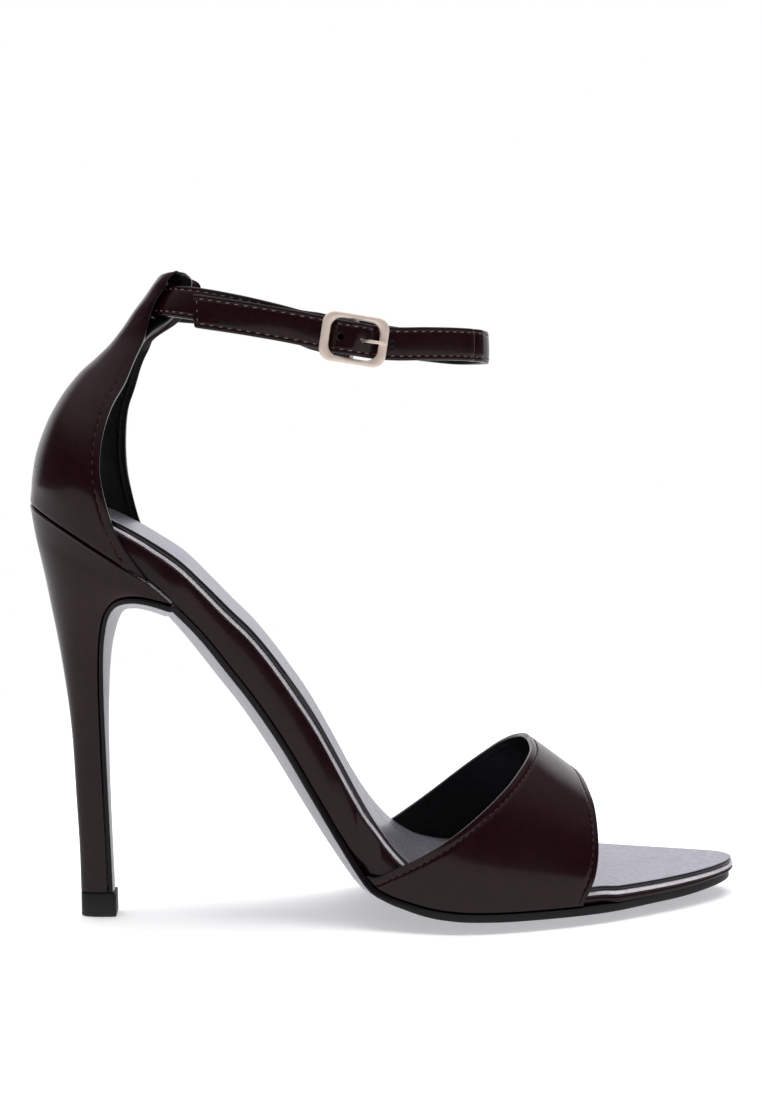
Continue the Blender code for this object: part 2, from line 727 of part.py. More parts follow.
def layers(total):
    """Rows of distance along the strap, its offset outwards from its loop, and its drop."""
    bar = MIDDLE_BAR_RADIUS + GAP + STRAP_THICK / 2
    under = BUCKLE_THICK / 2 + 1.5 * GAP + STRAP_THICK / 2
    side = (BUCKLE_LENGTH - BUCKLE_SIDE_BAR) / 2
    half_bar = BUCKLE_SIDE_BAR / 2
    pair = STRAP_THICK + GAP
    return (
        (0.0, -bar - MIDDLE_BAR_DEPTH, 0.0),
        (0.35 * side, -bar - MIDDLE_BAR_DEPTH - 0.3 * pair, 0.0),
        (side - half_bar, -under - pair, 0.0),
        (side + half_bar, -under - pair, 0.0),
        (0.6 * TONGUE_LENGTH, -1.4 * pair, 0.0),
        (TONGUE_LENGTH, -0.4 * pair, 0.0),
        (1.12 * TONGUE_LENGTH, 0.0, 0.0),
        (1.3 * TONGUE_LENGTH, 0.0, 0.0),
        (total - 0.6 * STRAP_REACH, 0.0, 0.0),
        (total - 0.5 * STRAP_REACH, 0.0, 0.0),
        (total - 2.2 * side, -under, 0.0),
        (total - side - half_bar, -under, 0.0),
        (total - side + half_bar, -under, 0.0),
        (total - 0.4 * side, -0.1 * under, 0.0),
        (total, bar - MIDDLE_BAR_DEPTH, 0.0),
        (total + 0.4 * side, -0.1 * under, 0.0),
        (total + side - half_bar, -under, 0.0),
        (total + side + half_bar, -under, -0.02 * TONGUE_SAG),
        (total + 0.6 * TONGUE_LENGTH, -0.4 * pair, -0.5 * TONGUE_SAG),
        (total + TONGUE_LENGTH, 0.7 * pair, -TONGUE_SAG),
    )


def ankle_strap(finish, collection, cutters):
    line = route_line()
    total = line[2]
    rows = np.array(layers(total))
    near = np.linspace(0, STRAP_REACH * 0.5, 16)
    round_back = np.linspace(STRAP_REACH * 0.5, total - STRAP_REACH * 0.35, 42)[1:]
    buckle = np.linspace(total - STRAP_REACH * 0.35, total + BUCKLE_LENGTH * 0.7, 34)[1:]
    tongue = np.linspace(total + BUCKLE_LENGTH * 0.7, total + TONGUE_LENGTH, 10)[1:]
    rings = []
    for at in np.concatenate([near, round_back, buckle, tongue]):
        place, ahead, outward, upward = strap_frame(line, at)
        off, drop = smooth(rows[:, 0], rows[:, 1:], np.array([at]))[0]
        ring = []
        for up, out in ((-1, -1), (0, -1), (1, -1), (1, 1), (0, 1), (-1, 1)):
            slant = TONGUE_SLANT * up / 2 if at == total + TONGUE_LENGTH else 0.0
            shift = outward * (off + out * STRAP_THICK / 2) + upward * (drop + up * STRAP_WIDTH / 2)
            ring.append(place + shift - ahead * slant)
        rings.append(ring)
    made = loft("ankle_strap", rings, finish, collection)
    shade(made)
    for index in range(-1, 2):
        boolean(made, hole_cutter(line, index, cutters), "DIFFERENCE")
    boolean(made, slot_cutter(line, cutters), "DIFFERENCE")
    return made


def hole_cutter(line, index, cutters):
    """The pinholes, and the longer one that the prong goes up through."""
    total = line[2]
    side = (BUCKLE_LENGTH - BUCKLE_SIDE_BAR) / 2
    at = total - PRONG_HOLE * side + index * HOLE_PITCH / 2
    place, ahead, outward, upward = strap_frame(line, at)
    bpy.ops.mesh.primitive_cylinder_add(vertices=12, radius=HOLE_RADIUS, depth=4 * STRAP_THICK)
    cutter = bpy.context.object
    cutter.name = f"hole_cutter_{index + 2}"
    longer = PRONG_SLOT if index == 0 else 1.0
    turned = Matrix((ahead, upward, outward)).transposed().to_4x4()
    cutter.matrix_world = Matrix.Translation(place) @ turned @ Matrix.Diagonal((longer, 1, 1, 1))
    return as_cutter(cutter, cutters)


def slot_cutter(line, cutters):
    """Room for the prong's hook in the strap's end under the middle bar."""
    bpy.ops.mesh.primitive_cube_add(size=1)
    cutter = bpy.context.object
    cutter.name = "slot_cutter"
    size = (2 * SLOT_LENGTH, 2 * PRONG_RADIUS + 3 * GAP, 2 * STRAP_THICK)
    depth = MIDDLE_BAR_DEPTH + MIDDLE_BAR_RADIUS + STRAP_THICK
    sunk = Matrix.Translation((0, 0, -depth))
    cutter.matrix_world = buckle_place(line) @ sunk @ Matrix.Diagonal((*size, 1))
    return as_cutter(cutter, cutters)


def as_cutter(made, cutters):
    for old in made.users_collection:
        old.objects.unlink(made)
    cutters.objects.link(made)
    made.hide_render = True
    made.display_type = "WIRE"
    return made


def buckle_place(line):
    """Matrix at the buckle's middle: X along the strap to the toe, Y up across it, Z outwards."""
    place, ahead, outward, upward = strap_frame(line, 0.0)
    toe = -ahead
    return Matrix.Translation(place) @ Matrix((toe, upward, outward)).transposed().to_4x4()


def rounded_outline(length, width, corner, steps=5):
    points = []
    for quarter in range(4):
        sx = 1 if quarter in (0, 3) else -1
        sy = 1 if quarter in (0, 1) else -1
        for i in range(steps):
            angle = math.radians(90 * (quarter + i / (steps - 1)))
            x = sx * (length / 2 - corner) + corner * math.cos(angle)
            y = sy * (width / 2 - corner) + corner * math.sin(angle)
            points.append((x, y))
    return points


def buckle_frame(line, finish, collection, cutters):
    flat = bpy.data.curves.new("buckle_outline", "CURVE")
    flat.dimensions = "2D"
    flat.fill_mode = "BOTH"
    flat.extrude = BUCKLE_THICK / 2
    window = (BUCKLE_LENGTH - 2 * BUCKLE_SIDE_BAR, BUCKLE_WIDTH - 2 * BUCKLE_END_BAR)
    sides = ((BUCKLE_LENGTH, BUCKLE_WIDTH, BUCKLE_CORNER), (*window, BUCKLE_CORNER * 0.9))
    for length, width, corner in sides:
        spline = flat.splines.new("POLY")
        outline = rounded_outline(length, width, corner)
        spline.points.add(len(outline) - 1)
        for point, (x, y) in zip(spline.points, outline):
            point.co = (x, y, 0, 1)
        spline.use_cyclic_u = True
    guide = bpy.data.objects.new("buckle_outline", flat)
    cutters.objects.link(guide)
    graph = bpy.context.evaluated_depsgraph_get()
    mesh = bpy.data.meshes.new_from_object(guide.evaluated_get(graph))
    bpy.data.objects.remove(guide)
    made = bpy.data.objects.new("buckle_frame", mesh)
    mesh.materials.clear()
    mesh.materials.append(finish)
    collection.objects.link(made)
    made.matrix_world = buckle_place(line)
    weld = made.modifiers.new("Weld", "WELD")
    weld.merge_threshold = 0.01 * MM
    bevel = made.modifiers.new("Bevel", "BEVEL")
    bevel.width = 0.45 * MM
    bevel.segments = 2
    bevel.limit_method = "ANGLE"
    bevel.angle_limit = math.radians(60)
    depth = BUCKLE_WIDTH - BUCKLE_END_BAR
    bpy.ops.mesh.primitive_cylinder_add(vertices=10, radius=MIDDLE_BAR_RADIUS, depth=depth)
    bar = bpy.context.object
    bar.name = "middle_bar"
    stand = Matrix.Translation((0, 0, -MIDDLE_BAR_DEPTH)) @ Matrix.Rotation(math.pi / 2, 4, "X")
    bar.matrix_world = buckle_place(line) @ stand
    boolean(made, as_cutter(bar, cutters), "UNION")
    shade(made)
    return made


def buckle_prong(line, finish, collection):
    side = (BUCKLE_LENGTH - BUCKLE_SIDE_BAR) / 2
    hook = MIDDLE_BAR_RADIUS + GAP + PRONG_RADIUS
    rest = BUCKLE_THICK / 2 + GAP + PRONG_RADIUS
    path = []
    for degrees in range(180, 331, 30):
        angle = math.radians(degrees)
        path.append((hook * math.cos(angle), hook * math.sin(angle) - MIDDLE_BAR_DEPTH))
    path += [(0.36 * side, -0.35 * hook), (0.55 * side, 0.45 * rest), (0.8 * side, 0.95 * rest)]
    path += [(side, rest), (side + 0.45 * BUCKLE_SIDE_BAR, 0.94 * rest)]
    data = bpy.data.curves.new("buckle_prong", "CURVE")
    data.dimensions = "3D"
    data.bevel_depth = PRONG_RADIUS
    data.bevel_resolution = 1
    data.use_fill_caps = True
    spline = data.splines.new("POLY")
    spline.points.add(len(path) - 1)
    for point, (x, z) in zip(spline.points, path):
        point.co = (x, 0, z, 1)
    data.materials.append(finish)
    made = bpy.data.objects.new("buckle_prong", data)
    collection.objects.link(made)
    made.matrix_world = buckle_place(line)
    return made


def main():
    for old in list(bpy.data.objects):
        bpy.data.objects.remove(old)
    parts = bpy.data.collections.new("heeled_sandal")
    cutters = bpy.data.collections.new("cutters")
    for collection in (parts, cutters):
        bpy.context.scene.collection.children.link(collection)
    leather = material("polished_leather", (0.030, 0.008, 0.010), 0.18)
    sock = material("sock_grey", (0.40, 0.38, 0.45), 0.35, 0.4)
    rubber = material("tip_rubber", (0.012, 0.012, 0.012), 0.6)
    sole = material("sole_grey", (0.52, 0.52, 0.58), 0.45)
    metal = material("rose_gold", (0.86, 0.66, 0.56), 0.3, 1.0)
    line = route_line()
    outsole(sole, parts)
    heel(leather, parts)
    heel_tip(rubber, parts)
    insole_board(leather, parts)
    insole_sock(sock, parts)
    vamp_strap(leather, parts)
    heel_counter(leather, parts)
    ankle_strap(leather, parts, cutters)
    buckle_frame(line, metal, parts, cutters)
    buckle_prong(line, metal, parts)


main()
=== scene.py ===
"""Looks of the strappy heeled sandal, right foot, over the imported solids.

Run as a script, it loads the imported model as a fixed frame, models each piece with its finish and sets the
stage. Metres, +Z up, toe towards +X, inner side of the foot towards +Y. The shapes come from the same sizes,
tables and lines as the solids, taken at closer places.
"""
import math

import bmesh
import bpy
import numpy as np
from bpy.props import FloatProperty, FloatVectorProperty, IntProperty, PointerProperty
from mathutils import Matrix, Vector


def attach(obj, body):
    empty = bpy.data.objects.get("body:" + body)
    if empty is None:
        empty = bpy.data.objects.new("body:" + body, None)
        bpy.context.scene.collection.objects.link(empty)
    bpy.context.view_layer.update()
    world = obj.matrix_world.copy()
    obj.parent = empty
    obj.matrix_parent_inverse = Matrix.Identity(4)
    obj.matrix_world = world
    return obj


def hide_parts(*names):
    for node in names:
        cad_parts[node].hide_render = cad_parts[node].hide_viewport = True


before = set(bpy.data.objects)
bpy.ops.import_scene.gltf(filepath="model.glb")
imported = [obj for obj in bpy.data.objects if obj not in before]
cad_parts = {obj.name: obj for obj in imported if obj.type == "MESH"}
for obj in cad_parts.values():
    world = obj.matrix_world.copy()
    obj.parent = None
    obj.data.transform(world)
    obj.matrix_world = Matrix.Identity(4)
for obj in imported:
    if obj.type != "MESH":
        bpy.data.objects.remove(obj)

bl_info = {
    "name": "Heeled Sandal",
    "version": (1, 0, 0),
    "blender": (4, 5, 0),
    "location": "3D View > Sidebar > Sandal",
    "description": "Dresses the packed sandal: patent straps, heel, sock, sole, stitches and buckle",
    "category": "Add Mesh",
}

MM = 0.001
GAP = 0.3 * MM

# The last
SHOE_RUN = 199 * MM
SEAT_SET_BACK = 16.2 * MM
SEAT_RISE = 112 * MM
FEATHER_HEIGHT = 5.2 * MM
BALL_WIDTH = 75.6 * MM
SEAT_ROUND = 33 * MM
SEAT_FULLNESS = 2.3
TOE_ROUND = 40 * MM
TOE_FULLNESS = 2.0
INSTEP = 70 * MM
CREST_SHIFT = 3 * MM
LAST_FULLNESS = 2.4

# Sole
BOTTOM_CROWN = 4 * MM
SHANK_STACK = 20 * MM
SOCK_THICK = 1.2 * MM
SOCK_INSET = 0.5 * MM
SEAT_DISH = 1.2 * MM
TREAD_THICK = 2.4 * MM
SHANK_THICK = 1.8 * MM
FLAP_THICK = 1.3 * MM
TOE_OVERHANG = 1.2 * MM
OUTSOLE_INSET = 0.8 * MM
SIDE_INSET = 0.3 * MM

# Heel
TIP_LENGTH = 10 * MM
TIP_HALF_WIDTH = 4.1 * MM
TIP_HEIGHT = 6.8 * MM
TIP_CHAMFER = 0.4 * MM
HEEL_HALF_WIDTH = 26 * MM
HEEL_RISE = 110 * MM

# Upper
VAMP_WALL = 1.5 * MM
COUNTER_WALL = 1.8 * MM
COUNTER_HALF_WIDTH = 26 * MM
COUNTER_RISE = 63.5 * MM
COUNTER_LEAN = 46 * MM

SEAT_CLEARANCE = COUNTER_WALL + 2 * GAP

# Ankle strap and buckle
STRAP_WIDTH = 9.0 * MM
STRAP_THICK = 1.5 * MM
STRAP_REACH = 92 * MM
STRAP_SPREAD = 52 * MM
STRAP_DROP = 14 * MM
STRAP_LEAN = 15
STRAP_START = 38 * MM
TAB_DROP = 8.5 * MM
TONGUE_LENGTH = 44.7 * MM
TONGUE_SAG = 2.3 * MM
TONGUE_SLANT = -3.0 * MM
HOLE_RADIUS = 0.9 * MM
HOLE_PITCH = 14.5 * MM
BUCKLE_LENGTH = 18.2 * MM
BUCKLE_WIDTH = 13.4 * MM
BUCKLE_THICK = 1.6 * MM
BUCKLE_SIDE_BAR = 2.4 * MM
BUCKLE_END_BAR = 1.5 * MM
BUCKLE_CORNER = 3.4 * MM
MIDDLE_BAR_RADIUS = 0.6 * MM
MIDDLE_BAR_DEPTH = 0.3 * MM
PRONG_RADIUS = 0.5 * MM
PRONG_SLOT = 2.4
PRONG_HOLE = 0.45
RIM_OUT = 0.12 * MM
RIM_THICK = 0.2 * MM
RIM_SUNK = 0.03 * MM
BRIGHT_FADE = 0.35

BREAST_STEPS = 23
WING_CLEARANCE = 1.4 * MM

# A row for each section of the last, heel to toe. along: share of SHOE_RUN from the seat's back.
# rise: feather line above the forepart's, share of SEAT_RISE. stack: board and sock, straight up,
# share of SHANK_STACK. half, swing: half width and its middle, shares of BALL_WIDTH.
# crown: how far the outsole bulges below its edges, share of BOTTOM_CROWN.
LAST_COLUMNS = ("along", "rise", "stack", "half", "swing", "crown")
LAST_ROWS = (
    (0.000, 0.999, 0.16, 0.344, 0.000, 0.60),
    (0.061, 0.929, 0.42, 0.344, 0.000, 0.65),
    (0.125, 0.855, 0.56, 0.343, 0.000, 0.70),
    (0.174, 0.798, 0.59, 0.331, 0.002, 0.80),
    (0.210, 0.737, 0.68, 0.312, 0.001, 0.86),
    (0.245, 0.668, 0.72, 0.291, 0.000, 1.00),
    (0.277, 0.592, 0.81, 0.278, -0.003, 1.00),
    (0.308, 0.518, 0.91, 0.270, -0.005, 1.00),
    (0.353, 0.395, 1.01, 0.274, -0.009, 1.00),
    (0.393, 0.269, 1.10, 0.294, -0.011, 0.95),
    (0.423, 0.176, 1.06, 0.322, -0.013, 0.90),
    (0.448, 0.102, 0.99, 0.354, -0.013, 0.82),
    (0.463, 0.064, 0.94, 0.374, -0.013, 0.80),
    (0.483, 0.043, 0.76, 0.401, -0.012, 0.82),
    (0.509, 0.028, 0.55, 0.431, -0.011, 0.90),
    (0.539, 0.015, 0.40, 0.463, -0.009, 0.94),
    (0.574, 0.007, 0.32, 0.488, -0.007, 0.96),
    (0.624, 0.003, 0.28, 0.500, 0.003, 0.96),
    (0.694, 0.001, 0.25, 0.483, 0.020, 0.90),
    (0.774, 0.000, 0.23, 0.437, 0.040, 0.68),
    (0.845, 0.001, 0.21, 0.366, 0.053, 0.53),
    (0.916, 0.004, 0.20, 0.307, 0.061, 0.38),
    (0.961, 0.010, 0.18, 0.278, 0.070, 0.28),
    (1.000, 0.016, 0.17, 0.265, 0.079, 0.20),
)

# A row for each section of the heel, tip to seat. The front point is on the breast, which the
# outsole's flap covers, and the back point on the heel's rear line. x is a share of SEAT_SET_BACK,
# z a share of HEEL_RISE above the tip. half: share of HEEL_HALF_WIDTH. crown: share of BOTTOM_CROWN.
HEEL_COLUMNS = ("front_x", "front_z", "back_x", "back_z", "half", "crown")
HEEL_ROWS = (
    (0.179, 0.000, -0.309, 0.000, 0.158, 0.07),
    (0.160, 0.117, -0.318, 0.117, 0.162, 0.07),
    (0.136, 0.254, -0.355, 0.254, 0.177, 0.10),
    (0.120, 0.390, -0.389, 0.390, 0.215, 0.15),
    (0.117, 0.499, -0.451, 0.499, 0.285, 0.23),
    (0.139, 0.599, -0.537, 0.599, 0.396, 0.33),
    (0.191, 0.667, -0.611, 0.672, 0.508, 0.45),
    (0.290, 0.721, -0.691, 0.740, 0.638, 0.55),
    (0.481, 0.754, -0.765, 0.804, 0.762, 0.62),
    (0.790, 0.765, -0.846, 0.863, 0.862, 0.70),
    (1.123, 0.759, -0.926, 0.922, 0.927, 0.78),
    (1.451, 0.743, -1.000, 0.998, 0.935, 0.82),
)

# The vamp's rear and front edges, from the sole (girth 0) to the crest (girth 1), shares of SHOE_RUN.
VAMP_COLUMNS = ("girth", "rear", "front")
VAMP_ROWS = (
    (0.00, 0.456, 0.750),
    (0.05, 0.480, 0.757),
    (0.12, 0.520, 0.766),
    (0.20, 0.562, 0.772),
    (0.30, 0.605, 0.776),
    (0.43, 0.647, 0.778),
    (0.56, 0.674, 0.779),
    (0.72, 0.694, 0.777),
    (1.00, 0.703, 0.776),
)

# The last's crest over the forefoot: height share of INSTEP above the floor.
CREST_COLUMNS = ("along", "height")
CREST_ROWS = (
    (0.433, 1.214),
    (0.483, 1.100),
    (0.534, 0.993),
    (0.584, 0.893),
    (0.644, 0.783),
    (0.703, 0.670),
    (0.742, 0.587),
    (0.776, 0.513),
    (0.815, 0.443),
)

# A row for each section of the counter above the seam, up the neck, over the fold and down inside.
# x shares of COUNTER_LEAN from the seat's back, z shares of COUNTER_RISE above the seam's back,
# half: share of COUNTER_HALF_WIDTH, turn: how much further forward the inner side is, share of COUNTER_LEAN.
COUNTER_COLUMNS = ("back_x", "back_z", "side_x", "side_z", "half", "fullness", "turn")
COUNTER_ROWS = (
    (0.011, 0.060, 0.604, -0.208, 0.996, 2.3, 0.076),
    (0.020, 0.118, 0.530, -0.094, 1.000, 2.3, 0.087),
    (0.043, 0.208, 0.478, 0.057, 0.992, 2.2, 0.091),
    (0.083, 0.293, 0.465, 0.167, 0.946, 2.2, 0.087),
    (0.139, 0.383, 0.485, 0.291, 0.854, 2.2, 0.070),
    (0.217, 0.476, 0.535, 0.411, 0.723, 2.1, 0.043),
    (0.317, 0.564, 0.609, 0.512, 0.577, 2.1, 0.022),
    (0.417, 0.628, 0.665, 0.614, 0.462, 2.0, 0.015),
    (0.504, 0.688, 0.720, 0.701, 0.385, 2.0, 0.020),
    (0.583, 0.759, 0.752, 0.784, 0.346, 2.0, 0.022),
    (0.646, 0.825, 0.793, 0.857, 0.331, 2.0, 0.012),
    (0.713, 0.887, 0.843, 0.910, 0.327, 2.0, 0.018),
    (0.774, 0.948, 0.878, 0.964, 0.322, 2.0, 0.018),
    (0.818, 0.984, 0.925, 0.990, 0.308, 2.0, 0.012),
    (0.872, 0.984, 0.972, 0.985, 0.285, 2.0, 0.012),
    (0.924, 0.956, 1.010, 0.953, 0.252, 2.0, 0.038),
    (0.908, 0.897, 0.994, 0.894, 0.233, 2.0, 0.050),
    (0.866, 0.838, 0.942, 0.836, 0.222, 2.0, 0.036),
    (0.805, 0.775, 0.870, 0.774, 0.222, 2.0, 0.025),
    (0.680, 0.715, 0.755, 0.715, 0.240, 2.0, 0.015),
    (0.560, 0.665, 0.690, 0.660, 0.260, 2.0, 0.010),
)
SEAM_SIDE = 0.168

# The strap's own loop, seen from above, from the buckle round the back, along the inner side and
# round the front. x share of STRAP_REACH from its rear end, y of STRAP_SPREAD, z of STRAP_DROP,
# and last how far its top leans out, a share of STRAP_LEAN.
ROUTE_ROWS = (
    (0.565, -0.500, 0.114, 0.0),
    (0.446, -0.492, 0.300, 0.0),
    (0.326, -0.458, 0.521, 0.0),
    (0.217, -0.396, 0.714, 0.2),
    (0.112, -0.296, 0.880, 0.8),
    (0.022, -0.163, 0.975, 1.6),
    (-0.020, 0.000, 1.000, 1.9),
    (0.038, 0.163, 0.960, 1.5),
    (0.134, 0.300, 0.930, 0.8),
    (0.250, 0.385, 0.800, 0.2),
    (0.391, 0.442, 0.640, 0.0),
    (0.543, 0.465, 0.470, 0.0),
    (0.696, 0.438, 0.257, 0.0),
    (0.815, 0.365, 0.129, 0.0),
    (0.902, 0.273, 0.043, 0.0),
    (0.963, 0.154, 0.014, 0.0),
    (0.983, 0.000, 0.000, 0.0),
    (0.954, -0.138, 0.021, 0.0),
    (0.891, -0.265, 0.036, 0.0),
    (0.793, -0.388, 0.036, 0.0),
    (0.685, -0.469, 0.029, 0.0),
)

# What scene.py adds to the sizes above. A row of creases: place, depth, width.
STITCHED_ROWS = 7.0
BUCKLE_SQUARE = 2.8
BUCKLE_FILL = 1.14
VAMP_DENT = ((0.128, -0.012, 0.040), 0.35 * MM, 9 * MM)
COUNTER_CREASES = (
    (14.6, 0.22 * MM, 0.35),
    (15.4, 0.18 * MM, 0.25),
)
STRAP_CREASES = (
    (0.829, -0.40 * MM, 0.45 * MM),
    (0.840, 0.22 * MM, 1.6 * MM),
    (0.815, 0.15 * MM, 1.4 * MM),
)

COUNTER_SQUEEZE = (0.4, 0.6)
ROUTE_STEP = 0.2 * MM
SLANT_LENGTH = 9 * MM
SEAM_START = 16 * MM
STITCH_SLANT = 8.0
NEEDLE_SHARE = 0.62
VAMP_PITCH = 0.82
TONGUE_PITCH = 0.8
THREAD_LIFT = 0.25
STITCH_COLUMN = 7
SEAT_BACK = 0.1 * MM
TOP_LIGHT_PLACE = (0.1, 0.15, 1.6)
TOP_LIGHT_TARGET = (0.08, 0.0, 0.0)
TOP_LIGHT_SIZE = (1.6, 1.2)
BREAST_ROWS = 89
HEEL_GRID = (111, 61)
VAMP_GRID = (113, 301)
COUNTER_GRID = (181, 301)


def column(rows, columns, name):
    place = columns.index(name)
    return np.array([row[place] for row in rows])


def smooth(knots, values, at):
    """A smooth line through the rows: cubic pieces whose slopes follow the neighbouring rows."""
    knots = np.asarray(knots, float)
    values = np.asarray(values, float)
    steps = np.diff(knots)
    rises = np.diff(values, axis=0)
    if values.ndim > 1:
        steps = steps[:, None]
    secants = rises / steps
    slopes = np.empty_like(values)
    slopes[1:-1] = (secants[:-1] * steps[1:] + secants[1:] * steps[:-1]) / (steps[1:] + steps[:-1])
    slopes[0] = secants[0]
    slopes[-1] = secants[-1]
    at = np.clip(np.asarray(at, float), knots[0], knots[-1])
    place = np.clip(np.searchsorted(knots, at, side="right") - 1, 0, len(knots) - 2)
    step = knots[place + 1] - knots[place]
    t = (at - knots[place]) / step
    if values.ndim > 1:
        t = t[..., None]
        step = step[..., None]
    first = (2 * t + 1) * (t - 1) ** 2 * values[place] + t * (t - 1) ** 2 * step * slopes[place]
    last = t * t * (3 - 2 * t) * values[place + 1] + t * t * (t - 1) * step * slopes[place + 1]
    return first + last


def refined(rows, count):
    """More rows of points, on smooth lines through the given ones."""
    rows = np.asarray(rows, float)
    flat = rows.reshape(len(rows), -1)
    finer = smooth(np.arange(len(rows)), flat, np.linspace(0, len(rows) - 1, count))
    return finer.reshape(count, *rows.shape[1:])


def ramp(x, start, end):
    """0 before start, 1 after end, smooth between. start may lie beyond end."""
    t = np.clip((x - start) / (end - start), 0.0, 1.0)
    return t * t * (3 - 2 * t)


def dent(distance, width):
    """1 at distance 0, fading to 0 within about twice this width."""
    return np.exp(-((distance / width) ** 2))


def place_of(share):
    """Where a share of the shoe's run is, along X."""
    return share * SHOE_RUN - SEAT_SET_BACK


def last_value(name, x, size):
    share = (np.asarray(x, float) + SEAT_SET_BACK) / SHOE_RUN
    along = column(LAST_ROWS, LAST_COLUMNS, "along")
    return size * smooth(along, column(LAST_ROWS, LAST_COLUMNS, name), share)


def feather(x):
    """Height of the feather line, where the board's side meets outsole or heel."""
    return FEATHER_HEIGHT + last_value("rise", x, SEAT_RISE)


def slope_of(line, x):
    step = 0.5 * MM
    return (line(x + step) - line(x - step)) / (2 * step)


def steepness(x):
    """How much longer a thickness is when measured straight up."""
    return np.hypot(1.0, slope_of(feather, x))


def seat(x):
    """Height of the sock's upper edge."""
    return feather(x) + last_value("stack", x, SHANK_STACK)


def board_top(x):
    return seat(x) - (SOCK_THICK + GAP) * steepness(x)


def rounded(distance, length, fullness):
    """Share of the full width at this distance from a rounded end."""
    inside = 1 - np.maximum(0.0, 1 - distance / length) ** fullness
    return np.maximum(0.0, inside) ** (1 / fullness)


def plan(x, inset=0.0, seat_inset=0.0, toe_inset=0.0):
    """(outer side, inner side) of the last's plan at x, in Y, drawn in by these amounts."""
    half = last_value("half", x, BALL_WIDTH) - inset
    middle = last_value("swing", x, BALL_WIDTH)
    back = x - (place_of(0) + seat_inset)
    front = place_of(1) - toe_inset - x
    half = half * rounded(back, SEAT_ROUND, SEAT_FULLNESS)
    half = half * rounded(front, TOE_ROUND, TOE_FULLNESS)
    return middle - half, middle + half


def board_inset(x):
    """The board's side draws in where the counter or the vamp covers it."""
    free_toe = ramp(x, place_of(0.777), place_of(0.805))
    counter_zone = 1 - ramp(x, place_of(0.168), place_of(0.218))
    vamp_zone = ramp(x, place_of(0.415), place_of(0.452)) * (1 - free_toe)
    cover = counter_zone * (COUNTER_WALL + 2 * GAP) + vamp_zone * (VAMP_WALL + 2 * GAP)
    return SIDE_INSET * (1 - free_toe) + cover - SIDE_INSET * (counter_zone + vamp_zone)


def dish(x):
    """The seat is hollow across, for the heel of the foot."""
    back = ramp(x, place_of(0.01), place_of(0.08))
    return SEAT_DISH * back * (1 - ramp(x, place_of(0.1), place_of(0.3)))


def stations(start, end, count, crowd=0.0):
    """Places along X from start to end, spread evenly along the sole, crowded towards both ends."""
    fine = np.linspace(start, end, 400)
    length = np.concatenate([[0], np.cumsum(np.hypot(np.diff(fine), np.diff(seat(fine))))])
    share = np.linspace(0, 1, count)
    share = share - crowd * np.sin(2 * np.pi * share) / (2 * np.pi)
    return np.interp(share * length[-1], length, fine)


def to_tips(start, end, count, start_tip=True):
    """Places along X that crowd towards the rounded tips."""
    t = np.linspace(0, 1, count)
    share = (1 - np.cos(np.pi * t)) / 2 if start_tip else np.sin(np.pi * t / 2)
    return start + (end - start) * share


def heel_row(share):
    """One section of the heel at this share of its rows, as sizes."""
    at = np.array([share * (len(HEEL_ROWS) - 1)])
    row = smooth(np.arange(len(HEEL_ROWS)), np.array(HEEL_ROWS), at)[0]
    values = dict(zip(HEEL_COLUMNS, row))
    base = TIP_HEIGHT + GAP
    return {
        "front": np.array([values["front_x"] * SEAT_SET_BACK, base + values["front_z"] * HEEL_RISE]),
        "back": np.array([values["back_x"] * SEAT_SET_BACK, base + values["back_z"] * HEEL_RISE]),
        "half": values["half"] * HEEL_HALF_WIDTH,
        "crown": values["crown"] * BOTTOM_CROWN,
    }


def sole_start():
    return heel_row(1)["front"][0] + WING_CLEARANCE


def breast_rows():
    """The heel's sections with the direction down from the breast, which turns smoothly into the arch."""
    rows = [heel_row(i / (BREAST_STEPS - 1)) for i in range(BREAST_STEPS)]
    arch = stations(sole_start(), place_of(1) - TOE_OVERHANG - SEAT_BACK, 40, crowd=0.3)[:2]
    line = [row["front"] for row in rows] + [np.array([x, float(feather(x))]) for x in arch]
    for i, row in enumerate(rows):
        ahead = line[min(i + 2, len(line) - 1)] - line[max(i - 2, 0)]
        ahead /= np.linalg.norm(ahead)
        row["down"] = np.array([ahead[1], -ahead[0]])
    return rows


def outsole_plan(x):
    inset = OUTSOLE_INSET * ramp(x, place_of(0.78), place_of(0.88))
    return plan(x, inset=inset, toe_inset=TOE_OVERHANG)


def squareness(angle, fullness):
    """How far the rounded section reaches at this angle from its back, as a share."""
    return (np.abs(np.cos(angle)) ** fullness + np.abs(np.sin(angle)) ** fullness) ** (-1 / fullness)


def vamp_surface(girth, across):
    """Outer face of the vamp.

    girth is -1 and 1 where the sole meets the outer and the inner side and 0 on the crest. across is 0 at
    the rear edge and 1 at the front edge.
    """
    girth = np.asarray(girth)[:, None]
    share = 1 - np.abs(girth)
    knots = column(VAMP_ROWS, VAMP_COLUMNS, "girth")
    rear = smooth(knots, column(VAMP_ROWS, VAMP_COLUMNS, "rear"), share)
    front = smooth(knots, column(VAMP_ROWS, VAMP_COLUMNS, "front"), share)
    x = place_of(rear + (front - rear) * np.asarray(across)[None, :])
    along = column(CREST_ROWS, CREST_COLUMNS, "along")
    height = column(CREST_ROWS, CREST_COLUMNS, "height")
    crest = INSTEP * smooth(along, height, (x + SEAT_SET_BACK) / SHOE_RUN)
    base = feather(x) + 1.3 * GAP * steepness(x)
    angle = share * math.pi / 2
    reach = squareness(angle, LAST_FULLNESS)
    outer, inner = plan(x)
    middle = (outer + inner) / 2 + CREST_SHIFT
    y = middle + (np.where(girth > 0, inner, outer) - middle) * reach * np.cos(angle)
    return np.stack([x, y, base + (crest - base) * reach * np.sin(angle)], axis=-1)


